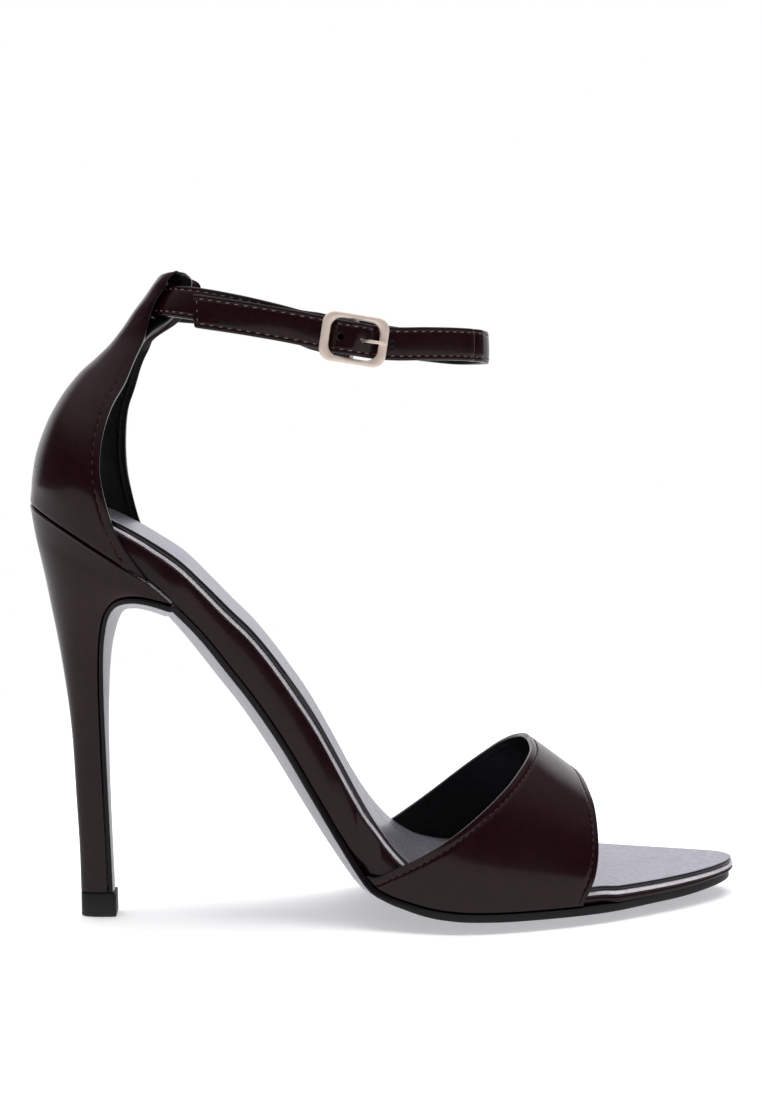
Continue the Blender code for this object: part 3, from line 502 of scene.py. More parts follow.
def counter_surface(angles):
    """Outer face of the counter at its rows, from the seam on the heel's rim to the end inside the fold."""
    turned = np.radians(np.abs(angles))
    sign = np.sign(angles)
    reach = squareness(turned, SEAT_FULLNESS)
    x = place_of(SEAM_SIDE * (1 - reach * np.cos(turned))) + SEAT_BACK
    outer, inner = plan(x)
    y = np.where(sign > 0, inner, np.where(sign < 0, outer, 0.0))
    rows = [np.stack([x, y, feather(x)], axis=-1)]
    base = float(feather(place_of(0)))
    for row in COUNTER_ROWS:
        values = dict(zip(COUNTER_COLUMNS, row))
        reach = squareness(turned, values["fullness"])
        depth = 1 - reach * np.cos(turned)
        side_x = values["side_x"] + values["turn"] * (sign > 0)
        x = (values["back_x"] + (side_x - values["back_x"]) * depth) * COUNTER_LEAN - SEAT_SET_BACK
        z = (values["back_z"] + (values["side_z"] - values["back_z"]) * depth) * COUNTER_RISE + base
        y = sign * reach * np.sin(turned) * values["half"] * COUNTER_HALF_WIDTH
        rows.append(np.stack([x, y, z], axis=-1))
    return np.array(rows)


def route_line():
    """The strap's loop as (rows, distances along it, its length), starting at the buckle."""
    rows = np.array(ROUTE_ROWS + ROUTE_ROWS[:1])
    rows[:, 0] = STRAP_START - SEAT_SET_BACK + rows[:, 0] * STRAP_REACH
    rows[:, 1] = rows[:, 1] * STRAP_SPREAD
    top = float(feather(place_of(0))) + COUNTER_RISE - TAB_DROP - STRAP_DROP
    rows[:, 2] = top + rows[:, 2] * STRAP_DROP
    steps = np.linalg.norm(np.diff(rows[:, :3], axis=0), axis=1)
    around = np.vstack([rows[-4:-1], rows, rows[1:4]])
    before = -np.cumsum(steps[::-1][:3])[::-1]
    knots = np.concatenate([before, [0], np.cumsum(steps), np.sum(steps) + np.cumsum(steps[:3])])
    return around, knots, float(np.sum(steps))


def strap_frames(line, at):
    """(places, ahead, outward, upward) of the strap's loop at these distances along it."""
    around, knots, total = line
    at = np.asarray(at) % total
    places = smooth(knots, around, at)
    before, after = (smooth(knots, around[:, :3], at + step) for step in (-ROUTE_STEP, ROUTE_STEP))
    ahead = after - before
    ahead /= np.linalg.norm(ahead, axis=1)[:, None]
    outward = np.cross((0, 0, 1), ahead)
    outward /= np.linalg.norm(outward, axis=1)[:, None]
    upward = np.cross(ahead, outward)
    lean = np.radians(STRAP_LEAN) * places[:, 3:4]
    leant = outward * np.cos(lean) + upward * np.sin(lean)
    return places[:, :3], ahead, leant, upward * np.cos(lean) - outward * np.sin(lean)


def layers(total):
    """Rows of distance along the strap, its offset outwards from its loop, and its drop."""
    bar = MIDDLE_BAR_RADIUS + GAP + STRAP_THICK / 2
    under = BUCKLE_THICK / 2 + 1.5 * GAP + STRAP_THICK / 2
    side = (BUCKLE_LENGTH - BUCKLE_SIDE_BAR) / 2
    half_bar = BUCKLE_SIDE_BAR / 2
    pair = STRAP_THICK + GAP
    return np.array((
        (0.0, -bar - MIDDLE_BAR_DEPTH, 0.0),
        (0.35 * side, -bar - MIDDLE_BAR_DEPTH - 0.3 * pair, 0.0),
        (side - half_bar, -under - pair, 0.0),
        (side + half_bar, -under - pair, 0.0),
        (0.6 * TONGUE_LENGTH, -1.4 * pair, 0.0),
        (TONGUE_LENGTH, -0.4 * pair, 0.0),
        (1.12 * TONGUE_LENGTH, 0.0, 0.0),
        (1.3 * TONGUE_LENGTH, 0.0, 0.0),
        (total - 0.6 * STRAP_REACH, 0.0, 0.0),
        (total - 0.5 * STRAP_REACH, 0.0, 0.0),
        (total - 2.2 * side, -under, 0.0),
        (total - side - half_bar, -under, 0.0),
        (total - side + half_bar, -under, 0.0),
        (total - 0.4 * side, -0.1 * under, 0.0),
        (total, bar - MIDDLE_BAR_DEPTH, 0.0),
        (total + 0.4 * side, -0.1 * under, 0.0),
        (total + side - half_bar, -under, 0.0),
        (total + side + half_bar, -under, -0.02 * TONGUE_SAG),
        (total + 0.6 * TONGUE_LENGTH, -0.4 * pair, -0.5 * TONGUE_SAG),
        (total + TONGUE_LENGTH, 0.7 * pair, -TONGUE_SAG),
    ))


def buckle_place(line):
    """Matrix at the buckle's middle: X along the strap to the toe, Y up across it, Z outwards."""
    places, ahead, outward, upward = (Vector(values[0]) for values in strap_frames(line, [0.0]))
    return Matrix.Translation(places) @ turned_to(-ahead, upward, outward)


def nothing_selected():
    if bpy.context.mode != "OBJECT":
        bpy.ops.object.mode_set(mode="OBJECT")
    bpy.ops.object.select_all(action="DESELECT")


def only(made):
    nothing_selected()
    made.select_set(True)
    bpy.context.view_layer.objects.active = made
    return made


def primitive(add, finish=None, **sizes):
    """A new primitive by itself, with this finish."""
    nothing_selected()
    add(**sizes)
    made = bpy.context.object
    if finish:
        made.data.materials.append(finish_of(finish))
    return made


def edited(made, *steps):
    """Runs edit steps, each an operator and its values, on the whole of a piece."""
    only(made)
    bpy.ops.object.mode_set(mode="EDIT")
    for step, values in steps:
        bpy.ops.mesh.select_all(action="SELECT")
        step(**values)
    bpy.ops.object.mode_set(mode="OBJECT")
    return made


def settled(made):
    """Puts a piece's place, turn and scale into its mesh."""
    only(made)
    bpy.ops.object.transform_apply(location=True, rotation=True, scale=True)
    return made


def turned_to(x, y, z):
    """The turn whose axes are these directions."""
    return Matrix((x, y, z)).transposed().to_4x4()


def laid_grid(name, rows, finishes, bands=None):
    """A grid primitive whose points are laid on rows of points. bands: the finish of each column of faces."""
    rows = np.asarray(rows, float)
    down, across = rows.shape[0] - 1, rows.shape[1] - 1
    made = primitive(bpy.ops.mesh.primitive_grid_add, x_subdivisions=across, y_subdivisions=down, size=1)
    made.name = made.data.name = name
    made.data.vertices.foreach_set("co", rows.ravel())
    for finish in finishes:
        made.data.materials.append(finish)
    if bands is not None:
        indices = np.tile(np.asarray(bands, np.int32), down)
        made.data.polygons.foreach_set("material_index", indices)
    made.data.update()
    return made


def closed_up(made):
    """Joins the sides of a grid that meet, fills its ends and faces it outwards."""
    return edited(
        made,
        (bpy.ops.mesh.remove_doubles, {"threshold": 0.002 * MM}),
        (bpy.ops.mesh.fill_holes, {"sides": 0}),
        (bpy.ops.mesh.normals_make_consistent, {"inside": False}))


def walled(name, face, normals, wall, corner, finishes, squeeze=(0.0, 0.0)):
    """One closed wall of leather from its outer face: lining inside, rounded painted edges at both sides.

    squeeze: how far each end of the wall is thinned at its first and last row, from both faces.
    """
    turns = np.radians((0, 25, 50, 72, 90))
    edges = []
    for edge, near in ((0, 2), (-1, -3)):
        along = np.gradient(face[:, edge], axis=0)
        along /= np.linalg.norm(along, axis=1)[:, None]
        off = face[:, edge] - face[:, near]
        off -= normals[:, edge] * (off * normals[:, edge]).sum(axis=1)[:, None]
        off -= along * (off * along).sum(axis=1)[:, None]
        off /= np.maximum(np.linalg.norm(off, axis=1), 1e-9)[:, None]
        rounds = [(corner * (1 - math.sin(t)), corner * (1 - math.cos(t))) for t in turns]
        rounds += [(inset, wall - depth) for inset, depth in rounds[::-1]]
        edges.append([face[:, edge] - off * inset - normals[:, edge] * depth for inset, depth in rounds])
    outer = [face[:, index] for index in range(1, face.shape[1] - 1)]
    inner = [face[:, index] - normals[:, index] * wall for index in range(face.shape[1] - 2, 0, -1)]
    columns = outer + edges[1] + inner + edges[0][::-1]
    steps = len(turns)
    bands = [0] * len(outer) + [0, 0] + [2] * (2 * steps - 4) + [1, 1] + [1] * len(inner)
    bands += [1, 1] + [2] * (2 * steps - 4) + [0, 0]
    rows = np.stack(columns + columns[:1], axis=1)
    middle = [face[:, index] - normals[:, index] * wall / 2 for index in range(face.shape[1])]
    middle = middle[1:-1] + middle[-1:] * (2 * steps) + middle[-2:0:-1] + middle[:1] * (2 * steps)
    middle = np.stack(middle + middle[:1], axis=1)
    for row, amount in ((0, squeeze[0]), (1, squeeze[0] / 4), (-1, squeeze[1]), (-2, squeeze[1] / 4)):
        rows[row] += (middle[row] - rows[row]) * amount
    rows = np.concatenate([middle[:1], rows, middle[-1:]])
    made = laid_grid(name, rows, finishes, bands[:rows.shape[1] - 1])
    return smooth_shaded(closed_up(made), 60)


def bevelled(made, width, angle, segments):
    only(made)
    edge = made.modifiers.new("Rounded", "BEVEL")
    edge.width = width
    edge.segments = segments
    edge.limit_method = "ANGLE"
    edge.angle_limit = math.radians(angle)
    edge.harden_normals = False
    bpy.ops.object.modifier_apply(modifier="Rounded")
    return made


def smooth_shaded(made, angle=42):
    only(made)
    bpy.ops.object.shade_smooth_by_angle(angle=math.radians(angle))
    return made


def joined(name, pieces):
    nothing_selected()
    for piece in pieces:
        piece.select_set(True)
    bpy.context.view_layer.objects.active = pieces[0]
    bpy.ops.object.join()
    made = bpy.context.object
    made.name = made.data.name = name
    return made


def on_shoe(made, slot, *nodes):
    """Fixes a finished piece to the shoe and hides the solids that it stands for."""
    settled(made)
    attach(made, "root")
    if nodes:
        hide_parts(*nodes)
    return made


def face_normals(grid):
    """Directions square to a grid of points, pointing out of the shoe."""
    normals = np.cross(np.gradient(grid, axis=1), np.gradient(grid, axis=0))
    normals /= np.maximum(np.linalg.norm(normals, axis=2), 1e-12)[:, :, None]
    middle = grid.mean(axis=(0, 1))
    away = ((grid - middle) * normals).sum()
    return normals if away > 0 else -normals


def off_line(points, line):
    """How far points are from the nearest place on a line."""
    start, step = line[:-1], np.diff(line, axis=0)
    best = np.full(points.shape[:-1], np.inf)
    for near, way in zip(start, step):
        share = np.clip(((points - near) @ way) / (way @ way), 0.0, 1.0)
        best = np.minimum(best, np.linalg.norm(points - near - share[..., None] * way, axis=-1))
    return best


def measured(grid, near, middle):
    """The same face with columns at these distances from both side edges and evenly between them."""
    count = grid.shape[1]
    half = count // 2
    from_left = np.maximum.accumulate(off_line(grid[:, :half], grid[:, 0]), axis=1)
    from_right = np.maximum.accumulate(off_line(grid[:, :-half - 1:-1], grid[:, -1]), axis=1)
    rows = []
    for line, left_off, right_off in zip(grid, from_left, from_right):
        left = np.interp(near, left_off, np.arange(half))
        right = (count - 1) - np.interp(near, right_off, np.arange(half))[::-1]
        places = np.concatenate([left, np.linspace(left[-1], right[0], middle + 2)[1:-1], right])
        rows.append(np.stack([np.interp(places, np.arange(count), line[:, k]) for k in range(3)], axis=-1))
    distance = np.concatenate([near, np.full(middle, 1.0), near[::-1]])
    return np.array(rows), distance


def spread(points, normals, pitch, start, end):
    """Evenly pitched (place, ahead, outward) along a seam."""
    steps = np.linalg.norm(np.diff(points, axis=0), axis=1)
    length = np.concatenate([[0], np.cumsum(steps)])
    count = max(2, round((length[-1] - start - end) / pitch))
    at = np.linspace(start + pitch / 2, length[-1] - end - pitch / 2, count)
    found = []
    for distance in at:
        take = lambda values, where: np.array([np.interp(where, length, values[:, k]) for k in range(3)])
        ahead = take(points, distance + pitch / 4) - take(points, distance - pitch / 4)
        found.append((take(points, distance), ahead / np.linalg.norm(ahead), take(normals, distance)))
    return found


def stitch_model(length, thick):
    """One stitch: a short plump thread lying along X that dives in at both ends."""
    made = edited(
        primitive(bpy.ops.mesh.primitive_uv_sphere_add, segments=8, ring_count=7, radius=1.0),
        (bpy.ops.transform.rotate, {"value": math.pi / 2, "orient_axis": "Y", "center_override": (0, 0, 0)}),
        (bpy.ops.transform.resize, {"value": (length / 2, thick / 2, thick / 2)}))
    for point in made.data.vertices:
        share = min(1.0, abs(point.co.x) / (length / 2))
        point.co.x = math.copysign(length / 2 * share**0.75, point.co.x)
        point.co.z -= thick * 0.55 * share**3
    return made


def hole_shade_disc(size):
    """A low dark disc of painted shade that stands for a needle hole."""
    return edited(
        primitive(bpy.ops.mesh.primitive_uv_sphere_add, segments=8, ring_count=4, radius=size),
        (bpy.ops.transform.resize, {"value": (1.0, 0.8, 0.25)}))


def copied_in(made, model, place, finish_index):
    """Adds a copy of a model to a mesh being built."""
    first_vertex, first_face = len(made.verts), len(made.faces)
    made.from_mesh(model.data)
    made.verts.ensure_lookup_table()
    made.faces.ensure_lookup_table()
    bmesh.ops.transform(made, matrix=place, verts=made.verts[first_vertex:])
    for face in made.faces[first_face:]:
        face.material_index = finish_index


def seam(name, places, thread, sizes):
    """A row of slanted stitches with a dark disc between each two, as one piece. The discs are painted shade
    standing for needle holes.
    """
    stitch = stitch_model(sizes.stitch_length, sizes.thread_thickness)
    shade_disc = hole_shade_disc(sizes.thread_thickness * NEEDLE_SHARE)
    slant = Matrix.Rotation(math.radians(STITCH_SLANT), 4, "Z")
    made = bmesh.new()
    for index, (place, ahead, outward) in enumerate(places):
        x = Vector(ahead)
        z = (Vector(outward) - x * x.dot(Vector(outward))).normalized()
        turned = turned_to(x, z.cross(x), z)
        copied_in(made, stitch, Matrix.Translation(place) @ turned @ slant, 0)
        if index < len(places) - 1:
            between = (place + places[index + 1][0]) / 2
            copied_in(made, shade_disc, Matrix.Translation(between) @ turned, 1)
    mesh = bpy.data.meshes.new(name)
    made.to_mesh(mesh)
    made.free()
    row = bpy.data.objects.new(name, mesh)
    bpy.context.scene.collection.objects.link(row)
    # The second finish is the near-black painted shade of the hole discs.
    for finish in finishes_of(thread, "needle_hole_shade"):
        mesh.materials.append(finish)
    for model in (stitch, shade_disc):
        bpy.data.objects.remove(model)
    return smooth_shaded(row, 80)


def sewn(name, points, normals, pitch, thread, sizes, start=0.0, end=0.0):
    """A seam of this thread along a line on the shoe."""
    on_shoe(seam(name, spread(points, normals, pitch, start, end), thread, sizes), "patent_leather")


def plank(name, frames, side_profile, across, finishes, start_tip=False):
    """A closed strip of sole with rounded sides.

    frames holds, for each station, the places, ahead and down of both faces in XZ, how far each face sags
    in its middle, the two sides, the distance travelled, and a factor on the insets. side_profile goes down
    the side: inset, the face that a depth is measured from, the depth into the strip, and the finish of the
    faces below it.
    """
    outer, inner = frames["sides"]
    travel = frames["travel"]
    middle, half = (outer + inner) / 2, np.maximum((inner - outer) / 2, 1e-9)
    normals = []
    for side, sign in ((outer, -1), (inner, 1)):
        normal = np.stack([-sign * np.gradient(side), sign * np.gradient(travel)], axis=-1)
        normal /= np.linalg.norm(normal, axis=1)[:, None]
        normal[-1] = (1, 0)
        if start_tip:
            normal[0] = (-1, 0)
        normals.append(normal)

    def spot(face, shift, y, depth):
        place, ahead, down = frames[face]
        share = np.minimum(1.0, np.abs((y - middle) / half))
        sag = frames[face + "_sag"] * (1 - share**2) + depth
        at = place + ahead * shift[:, None] + down * sag[:, None]
        return np.stack([at[:, 0], y, at[:, 1]], axis=-1)

    def edge(side, face, inset, depth):
        inset = np.minimum(inset * frames["round"], half * 0.8)
        depth = depth if face == "upper" else -depth
        normal = normals[side]
        return spot(face, -inset * normal[:, 0], (outer, inner)[side] - inset * normal[:, 1], depth)

    def flat(face, inset):
        inset = np.minimum(inset * frames["round"], half * 0.8)
        left = outer - inset * normals[0][:, 1]
        right = inner - inset * normals[1][:, 1]
        rows = []
        for share in np.linspace(0, 1, across)[1:-1]:
            shift = -inset * ((1 - share) * normals[0][:, 0] + share * normals[1][:, 0])
            rows.append(spot(face, shift, left + (right - left) * share, 0.0))
        return rows

    bands_down = [band for _, _, _, band in side_profile]
    columns = flat("upper", side_profile[0][0])
    bands = [bands_down[0]] * len(columns)
    columns += [edge(1, face, inset, depth) for inset, face, depth, _ in side_profile]
    bands += bands_down
    under = flat("lower", side_profile[-1][0])[::-1]
    columns += under
    bands += [bands_down[-1]] * len(under)
    columns += [edge(0, face, inset, depth) for inset, face, depth, _ in side_profile[::-1]]
    bands += bands_down[-2::-1] + bands_down[:1]
    rows = np.stack(columns + columns[:1], axis=1)
    rows[:, :, 2] = np.maximum(rows[:, :, 2], 0.0)
    return closed_up(laid_grid(name, rows, finishes, bands))


def xz_frames(points):
    """(places, ahead, down) of a line in XZ."""
    ahead = np.gradient(points, axis=0)
    ahead /= np.linalg.norm(ahead, axis=1)[:, None]
    return points, ahead, np.stack([ahead[:, 1], -ahead[:, 0]], axis=-1)


def travelled(points):
    return np.concatenate([[0], np.cumsum(np.linalg.norm(np.diff(points, axis=0), axis=1))])


def added(tree, kind, at=(0, 0), settings=None, inputs=None):
    """A shader node with these settings and unlinked input values."""
    node = tree.nodes.new(kind)
    node.location = at
    for name, value in (settings or {}).items():
        setattr(node, name, value)
    for name, value in (inputs or {}).items():
        node.inputs[name].default_value = value
    return node


def effect_group(name, inputs, outputs):
    """An empty effect with named inputs and outputs, as (tree, input node, output node)."""
    tree = bpy.data.node_groups.new(name, "ShaderNodeTree")
    for socket, kind, value in inputs:
        made = tree.interface.new_socket(name=socket, in_out="INPUT", socket_type=kind)
        if value is not None:
            made.default_value = value
    for socket in outputs:
        tree.interface.new_socket(name=socket, in_out="OUTPUT", socket_type="NodeSocketFloat")
    start = added(tree, "NodeGroupInput", (-800, 0))
    end = added(tree, "NodeGroupOutput", (600, 0))
    return tree, start, end


def maths(tree, operation, first, second, at=(0, 0)):
    """A maths node; first and second are sockets or numbers."""
    node = added(tree, "ShaderNodeMath", at, {"operation": operation})
    for socket, value in zip(node.inputs, (first, second)):
        if isinstance(value, bpy.types.NodeSocket):
            tree.links.new(value, socket)
        else:
            socket.default_value = value
    return node.outputs[0]


def noise(tree, vector, scale, detail=2.0, roughness=0.5, at=(0, 0), stretch=None):
    """A noise pattern in cycles per metre, stretched along an axis where asked."""
    if stretch:
        mapping = added(tree, "ShaderNodeMapping", (at[0] - 200, at[1]), inputs={"Scale": stretch})
        tree.links.new(vector, mapping.inputs["Vector"])
        vector = mapping.outputs["Vector"]
    node = added(tree, "ShaderNodeTexNoise", at, inputs={"Detail": detail, "Roughness": roughness})
    tree.links.new(vector, node.inputs["Vector"])
    if isinstance(scale, bpy.types.NodeSocket):
        tree.links.new(scale, node.inputs["Scale"])
    else:
        node.inputs["Scale"].default_value = scale
    return node.outputs["Fac"]


def ranged(tree, value, low, high, to_low, to_high, at=(0, 0)):
    node = added(tree, "ShaderNodeMapRange", at, {"interpolation_type": "SMOOTHSTEP"})
    for name, number in (("From Min", low), ("From Max", high), ("To Min", to_low), ("To Max", to_high)):
        node.inputs[name].default_value = number
    tree.links.new(value, node.inputs["Value"])
    return node.outputs["Result"]


def build_leather_grain():
    """Fine pebbled grain: its height, and where it is darker."""
    tree, start, end = effect_group(
        "leather_grain",
        (("Vector", "NodeSocketVector", None), ("Scale", "NodeSocketFloat", 2200.0)),
        ("Height", "Tone"))
    cells = added(tree, "ShaderNodeTexVoronoi", (-400, 120), {"feature": "SMOOTH_F1"}, {"Smoothness": 0.6})
    tree.links.new(start.outputs["Vector"], cells.inputs["Vector"])
    tree.links.new(start.outputs["Scale"], cells.inputs["Scale"])
    finer = maths(tree, "MULTIPLY", start.outputs["Scale"], 0.45, (-600, -200))
    pores = noise(tree, start.outputs["Vector"], finer, 3.0, 0.6, (-400, -150))
    less = maths(tree, "MULTIPLY", pores, 0.6, (-200, -150))
    height = maths(tree, "ADD", cells.outputs["Distance"], less, (0, 60))
    tree.links.new(height, end.inputs["Height"])
    tree.links.new(ranged(tree, pores, 0.35, 0.65, 0.0, 1.0, (200, -160)), end.inputs["Tone"])
    return tree


def build_soft_ripple():
    """The slow unevenness of leather stretched over a form, which bends its reflections."""
    tree, start, end = effect_group(
        "soft_ripple",
        (("Vector", "NodeSocketVector", None), ("Scale", "NodeSocketFloat", 90.0)),
        ("Height",))
    broad = noise(tree, start.outputs["Vector"], start.outputs["Scale"], 1.0, 0.4, (-400, 100))
    finer = maths(tree, "MULTIPLY", start.outputs["Scale"], 4.5, (-600, -200))
    close = noise(tree, start.outputs["Vector"], finer, 1.0, 0.5, (-400, -150))
    total = maths(tree, "ADD", broad, maths(tree, "MULTIPLY", close, 0.12, (-100, -150)), (100, 0))
    tree.links.new(total, end.inputs["Height"])
    return tree


def build_handling_marks():
    """Smudges and hairline scratches that dull a gloss."""
    tree, start, end = effect_group(
        "handling_marks",
        (("Vector", "NodeSocketVector", None), ("Amount", "NodeSocketFloat", 1.0)),
        ("Mask",))
    smudge = noise(tree, start.outputs["Vector"], 55.0, 4.0, 0.55, (-400, 200))
    smudge = ranged(tree, smudge, 0.45, 0.75, 0.0, 1.0, (-150, 200))
    lines = noise(tree, start.outputs["Vector"], 60.0, 2.0, 0.5, (-400, -100), (1.0, 1.0, 14.0))
    other = noise(tree, start.outputs["Vector"], 75.0, 2.0, 0.5, (-400, -300), (16.0, 1.5, 1.0))
    scratch = maths(tree, "MAXIMUM", ranged(tree, lines, 0.71, 0.74, 0.0, 1.0, (-150, -100)),
                    ranged(tree, other, 0.71, 0.74, 0.0, 1.0, (-150, -300)), (50, -200))
    both = maths(tree, "ADD", smudge, scratch, (200, 100))
    mask = maths(tree, "MULTIPLY", both, start.outputs["Amount"], (400, 100))
    tree.links.new(mask, end.inputs["Mask"])
    return tree


def build_wear():
    """Where a low part of the shoe is rubbed: more towards the floor, broken up by noise."""
    tree, start, end = effect_group(
        "floor_wear",
        (("Vector", "NodeSocketVector", None), ("Height", "NodeSocketFloat", 0.004)),
        ("Mask",))
    split = added(tree, "ShaderNodeSeparateXYZ", (-600, 0))
    tree.links.new(start.outputs["Vector"], split.inputs[0])
    high = maths(tree, "DIVIDE", split.outputs["Z"], start.outputs["Height"], (-400, 0))
    low = maths(tree, "SUBTRACT", 1.0, high, (-200, 0))
    patches = noise(tree, start.outputs["Vector"], 320.0, 5.0, 0.65, (-400, -200))
    total = maths(tree, "ADD", low, patches, (0, 0))
    tree.links.new(ranged(tree, total, 0.75, 1.5, 0.0, 1.0, (200, 0)), end.inputs["Mask"])
    return tree


# Each shared effect: what builds it, and the input that a finish sets
EFFECTS = {
    "leather_grain": (build_leather_grain, "Scale"),
    "soft_ripple": (build_soft_ripple, "Scale"),
    "handling_marks": (build_handling_marks, "Amount"),
    "floor_wear": (build_wear, "Height"),
}
GRAIN, TONE, RIPPLE = "leather_grain Height", "leather_grain Tone", "soft_ripple Height"
MARKS, WEAR, FIBRES, TWIST, RUBBED = "handling_marks Mask", "floor_wear Mask", "fibres", "twist", "rubbed"


def patterned(tree, places, patterns):
    """The outputs of a finish's patterns: shared effects, noise, a thread's twist or a rubbed mask."""
    found = {}
    for row, (name, value) in enumerate(patterns.items()):
        at = (-900, 300 - 250 * row)
        if name in EFFECTS:
            build, socket = EFFECTS[name]
            group = bpy.data.node_groups.get(name) or build()
            node = added(tree, "ShaderNodeGroup", at, {"node_tree": group, "label": name.replace("_", " ")},
                         {socket: value})
            tree.links.new(places, node.inputs["Vector"])
            found.update({name + " " + out.name: out for out in node.outputs})
        elif name == FIBRES:
            found[name] = noise(tree, places, *value, at)
        elif name == TWIST:
            node = added(tree, "ShaderNodeTexWave", at, {"bands_direction": "DIAGONAL"},
                         {"Scale": value, "Distortion": 1.5})
            tree.links.new(places, node.inputs["Vector"])
            found[name] = node.outputs["Fac"]
        else:
            less = maths(tree, "MULTIPLY", found[TONE], value, (-650, 300))
            found[name] = maths(tree, "MAXIMUM", found[WEAR], less, (-520, 300))
    return found


def times(colour, share):
    return tuple(channel * share for channel in colour)


def finish_rows(looks):
    """A row for each finish.

    Its material's name, the shader's plain values, its patterns each with its value, colour (the pattern that
    mixes it, one end, the other end or its share of the first), roughness (pattern and both ends), and bumps
    (pattern and depth, the lowest first).
    """
    patent, edge, thread = tuple(looks.patent), tuple(looks.edge), {"Specular IOR Level": 0.3}
    light, dark = tuple(looks.light_thread), tuple(looks.dark_thread)
    lacquer = {"Coat Weight": looks.coat, "Coat Roughness": looks.coat_roughness, "Specular IOR Level": 0.27}
    dulled = (MARKS, looks.patent_roughness, looks.patent_roughness + 0.14)
    return {
        "patent": (
            "burgundy_patent", lacquer, {"leather_grain": 1500.0, "soft_ripple": 55.0, "handling_marks": 0.7},
            (TONE, patent, 1.5), dulled, ((RIPPLE, 0.10 * MM), (GRAIN, 0.004 * MM))),
        "strap_patent": (
            "burgundy_patent_strap", lacquer,
            {"leather_grain": 1500.0, "soft_ripple": 110.0, "handling_marks": 0.7},
            (TONE, patent, 1.5), dulled, ((RIPPLE, 0.12 * MM), (GRAIN, 0.004 * MM))),
        "black_lining": (
            "black_lining", {"Specular IOR Level": 0.2}, {"leather_grain": 1400.0, "handling_marks": 0.5},
            (TONE, tuple(looks.lining), 2.0), (MARKS, 0.42, 0.6), ((GRAIN, 0.05 * MM),)),
        "painted_edge": (
            "painted_edge", {"Coat Weight": 0.4, "Coat Roughness": 0.15},
            {"soft_ripple": 260.0, "handling_marks": 0.6},
            (MARKS, edge, 2.5), (MARKS, 0.22, 0.42), ((RIPPLE, 0.05 * MM),)),
        "sole_edge": (
            "sole_edge", {"Coat Weight": 0.1, "Coat Roughness": 0.18, "Specular IOR Level": 0.25},
            {"soft_ripple": 180.0, "floor_wear": 0.003},
            (WEAR, edge, (0.05, 0.045, 0.045)), (WEAR, 0.24, 0.55), ((RIPPLE, 0.06 * MM),)),
        "sock_grey": (
            "sock_grey", {"Metallic": looks.sock_metallic},
            {"leather_grain": 1700.0, "soft_ripple": 45.0, "handling_marks": 0.6},
            (TONE, tuple(looks.sock), 0.82), (MARKS, 0.27, 0.4), ((RIPPLE, 0.10 * MM), (GRAIN, 0.035 * MM))),
        # A painted highlight: a pale colour on the board's top and upper rim that stands in for the bright
        # reflection the rounded rim catches. The metal and lacquer add some real gloss as well.
        "painted_highlight_rim": (
            "painted_highlight_rim", {"Metallic": 0.4, "Coat Weight": 0.3, "Coat Roughness": 0.2},
            {"leather_grain": 1700.0, "handling_marks": 0.6},
            (TONE, tuple(looks.rim_highlight_colour), 0.85), (MARKS, 0.3, 0.5), ((GRAIN, 0.02 * MM),)),
        "sole_grey": (
            "sole_grey", {"Coat Weight": 0.25, "Coat Roughness": 0.25},
            {"leather_grain": 900.0, "handling_marks": 0.8, "floor_wear": 0.0015, RUBBED: 0.25},
            (RUBBED, tuple(looks.sole), 0.66), (MARKS, 0.3, 0.5), ((GRAIN, 0.02 * MM),)),
        "tip_rubber": (
            "tip_rubber", {"Specular IOR Level": 0.4}, {"leather_grain": 2600.0, "floor_wear": 0.0012},
            (WEAR, tuple(looks.rubber), (0.045, 0.043, 0.042)), (WEAR, 0.5, 0.78), ((GRAIN, 0.03 * MM),)),
        "rose_gold": (
            "rose_gold", {"Metallic": 0.35}, {"handling_marks": 0.8, FIBRES: (900.0, 3.0, 0.55)},
            (MARKS, tuple(looks.metal), 0.86), (MARKS, 0.3, 0.45), ((FIBRES, 0.03 * MM),)),
        "light_thread": (
            "light_thread", thread, {TWIST: 1600.0},
            (TWIST, times(light, 0.55), light), (TWIST, 0.55, 0.75), ((TWIST, 0.05 * MM),)),
        "dark_thread": (
            "dark_thread", thread, {TWIST: 1600.0},
            (TWIST, times(dark, 0.55), dark), (TWIST, 0.55, 0.75), ((TWIST, 0.05 * MM),)),
        # Near-black painted shade: it colours the discs that stand for needle holes and the walls of the
        # punched strap holes.
        "needle_hole_shade": (
            "needle_hole_shade", {"Specular IOR Level": 0.1}, {FIBRES: (3000.0, 2.0, 0.5)},
            (FIBRES, (0.002, 0.001, 0.001), (0.006, 0.004, 0.004)), (FIBRES, 0.8, 0.95), ()),
    }


# Kept here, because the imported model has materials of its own, one of them by the same name as a finish.
FINISHES = {}


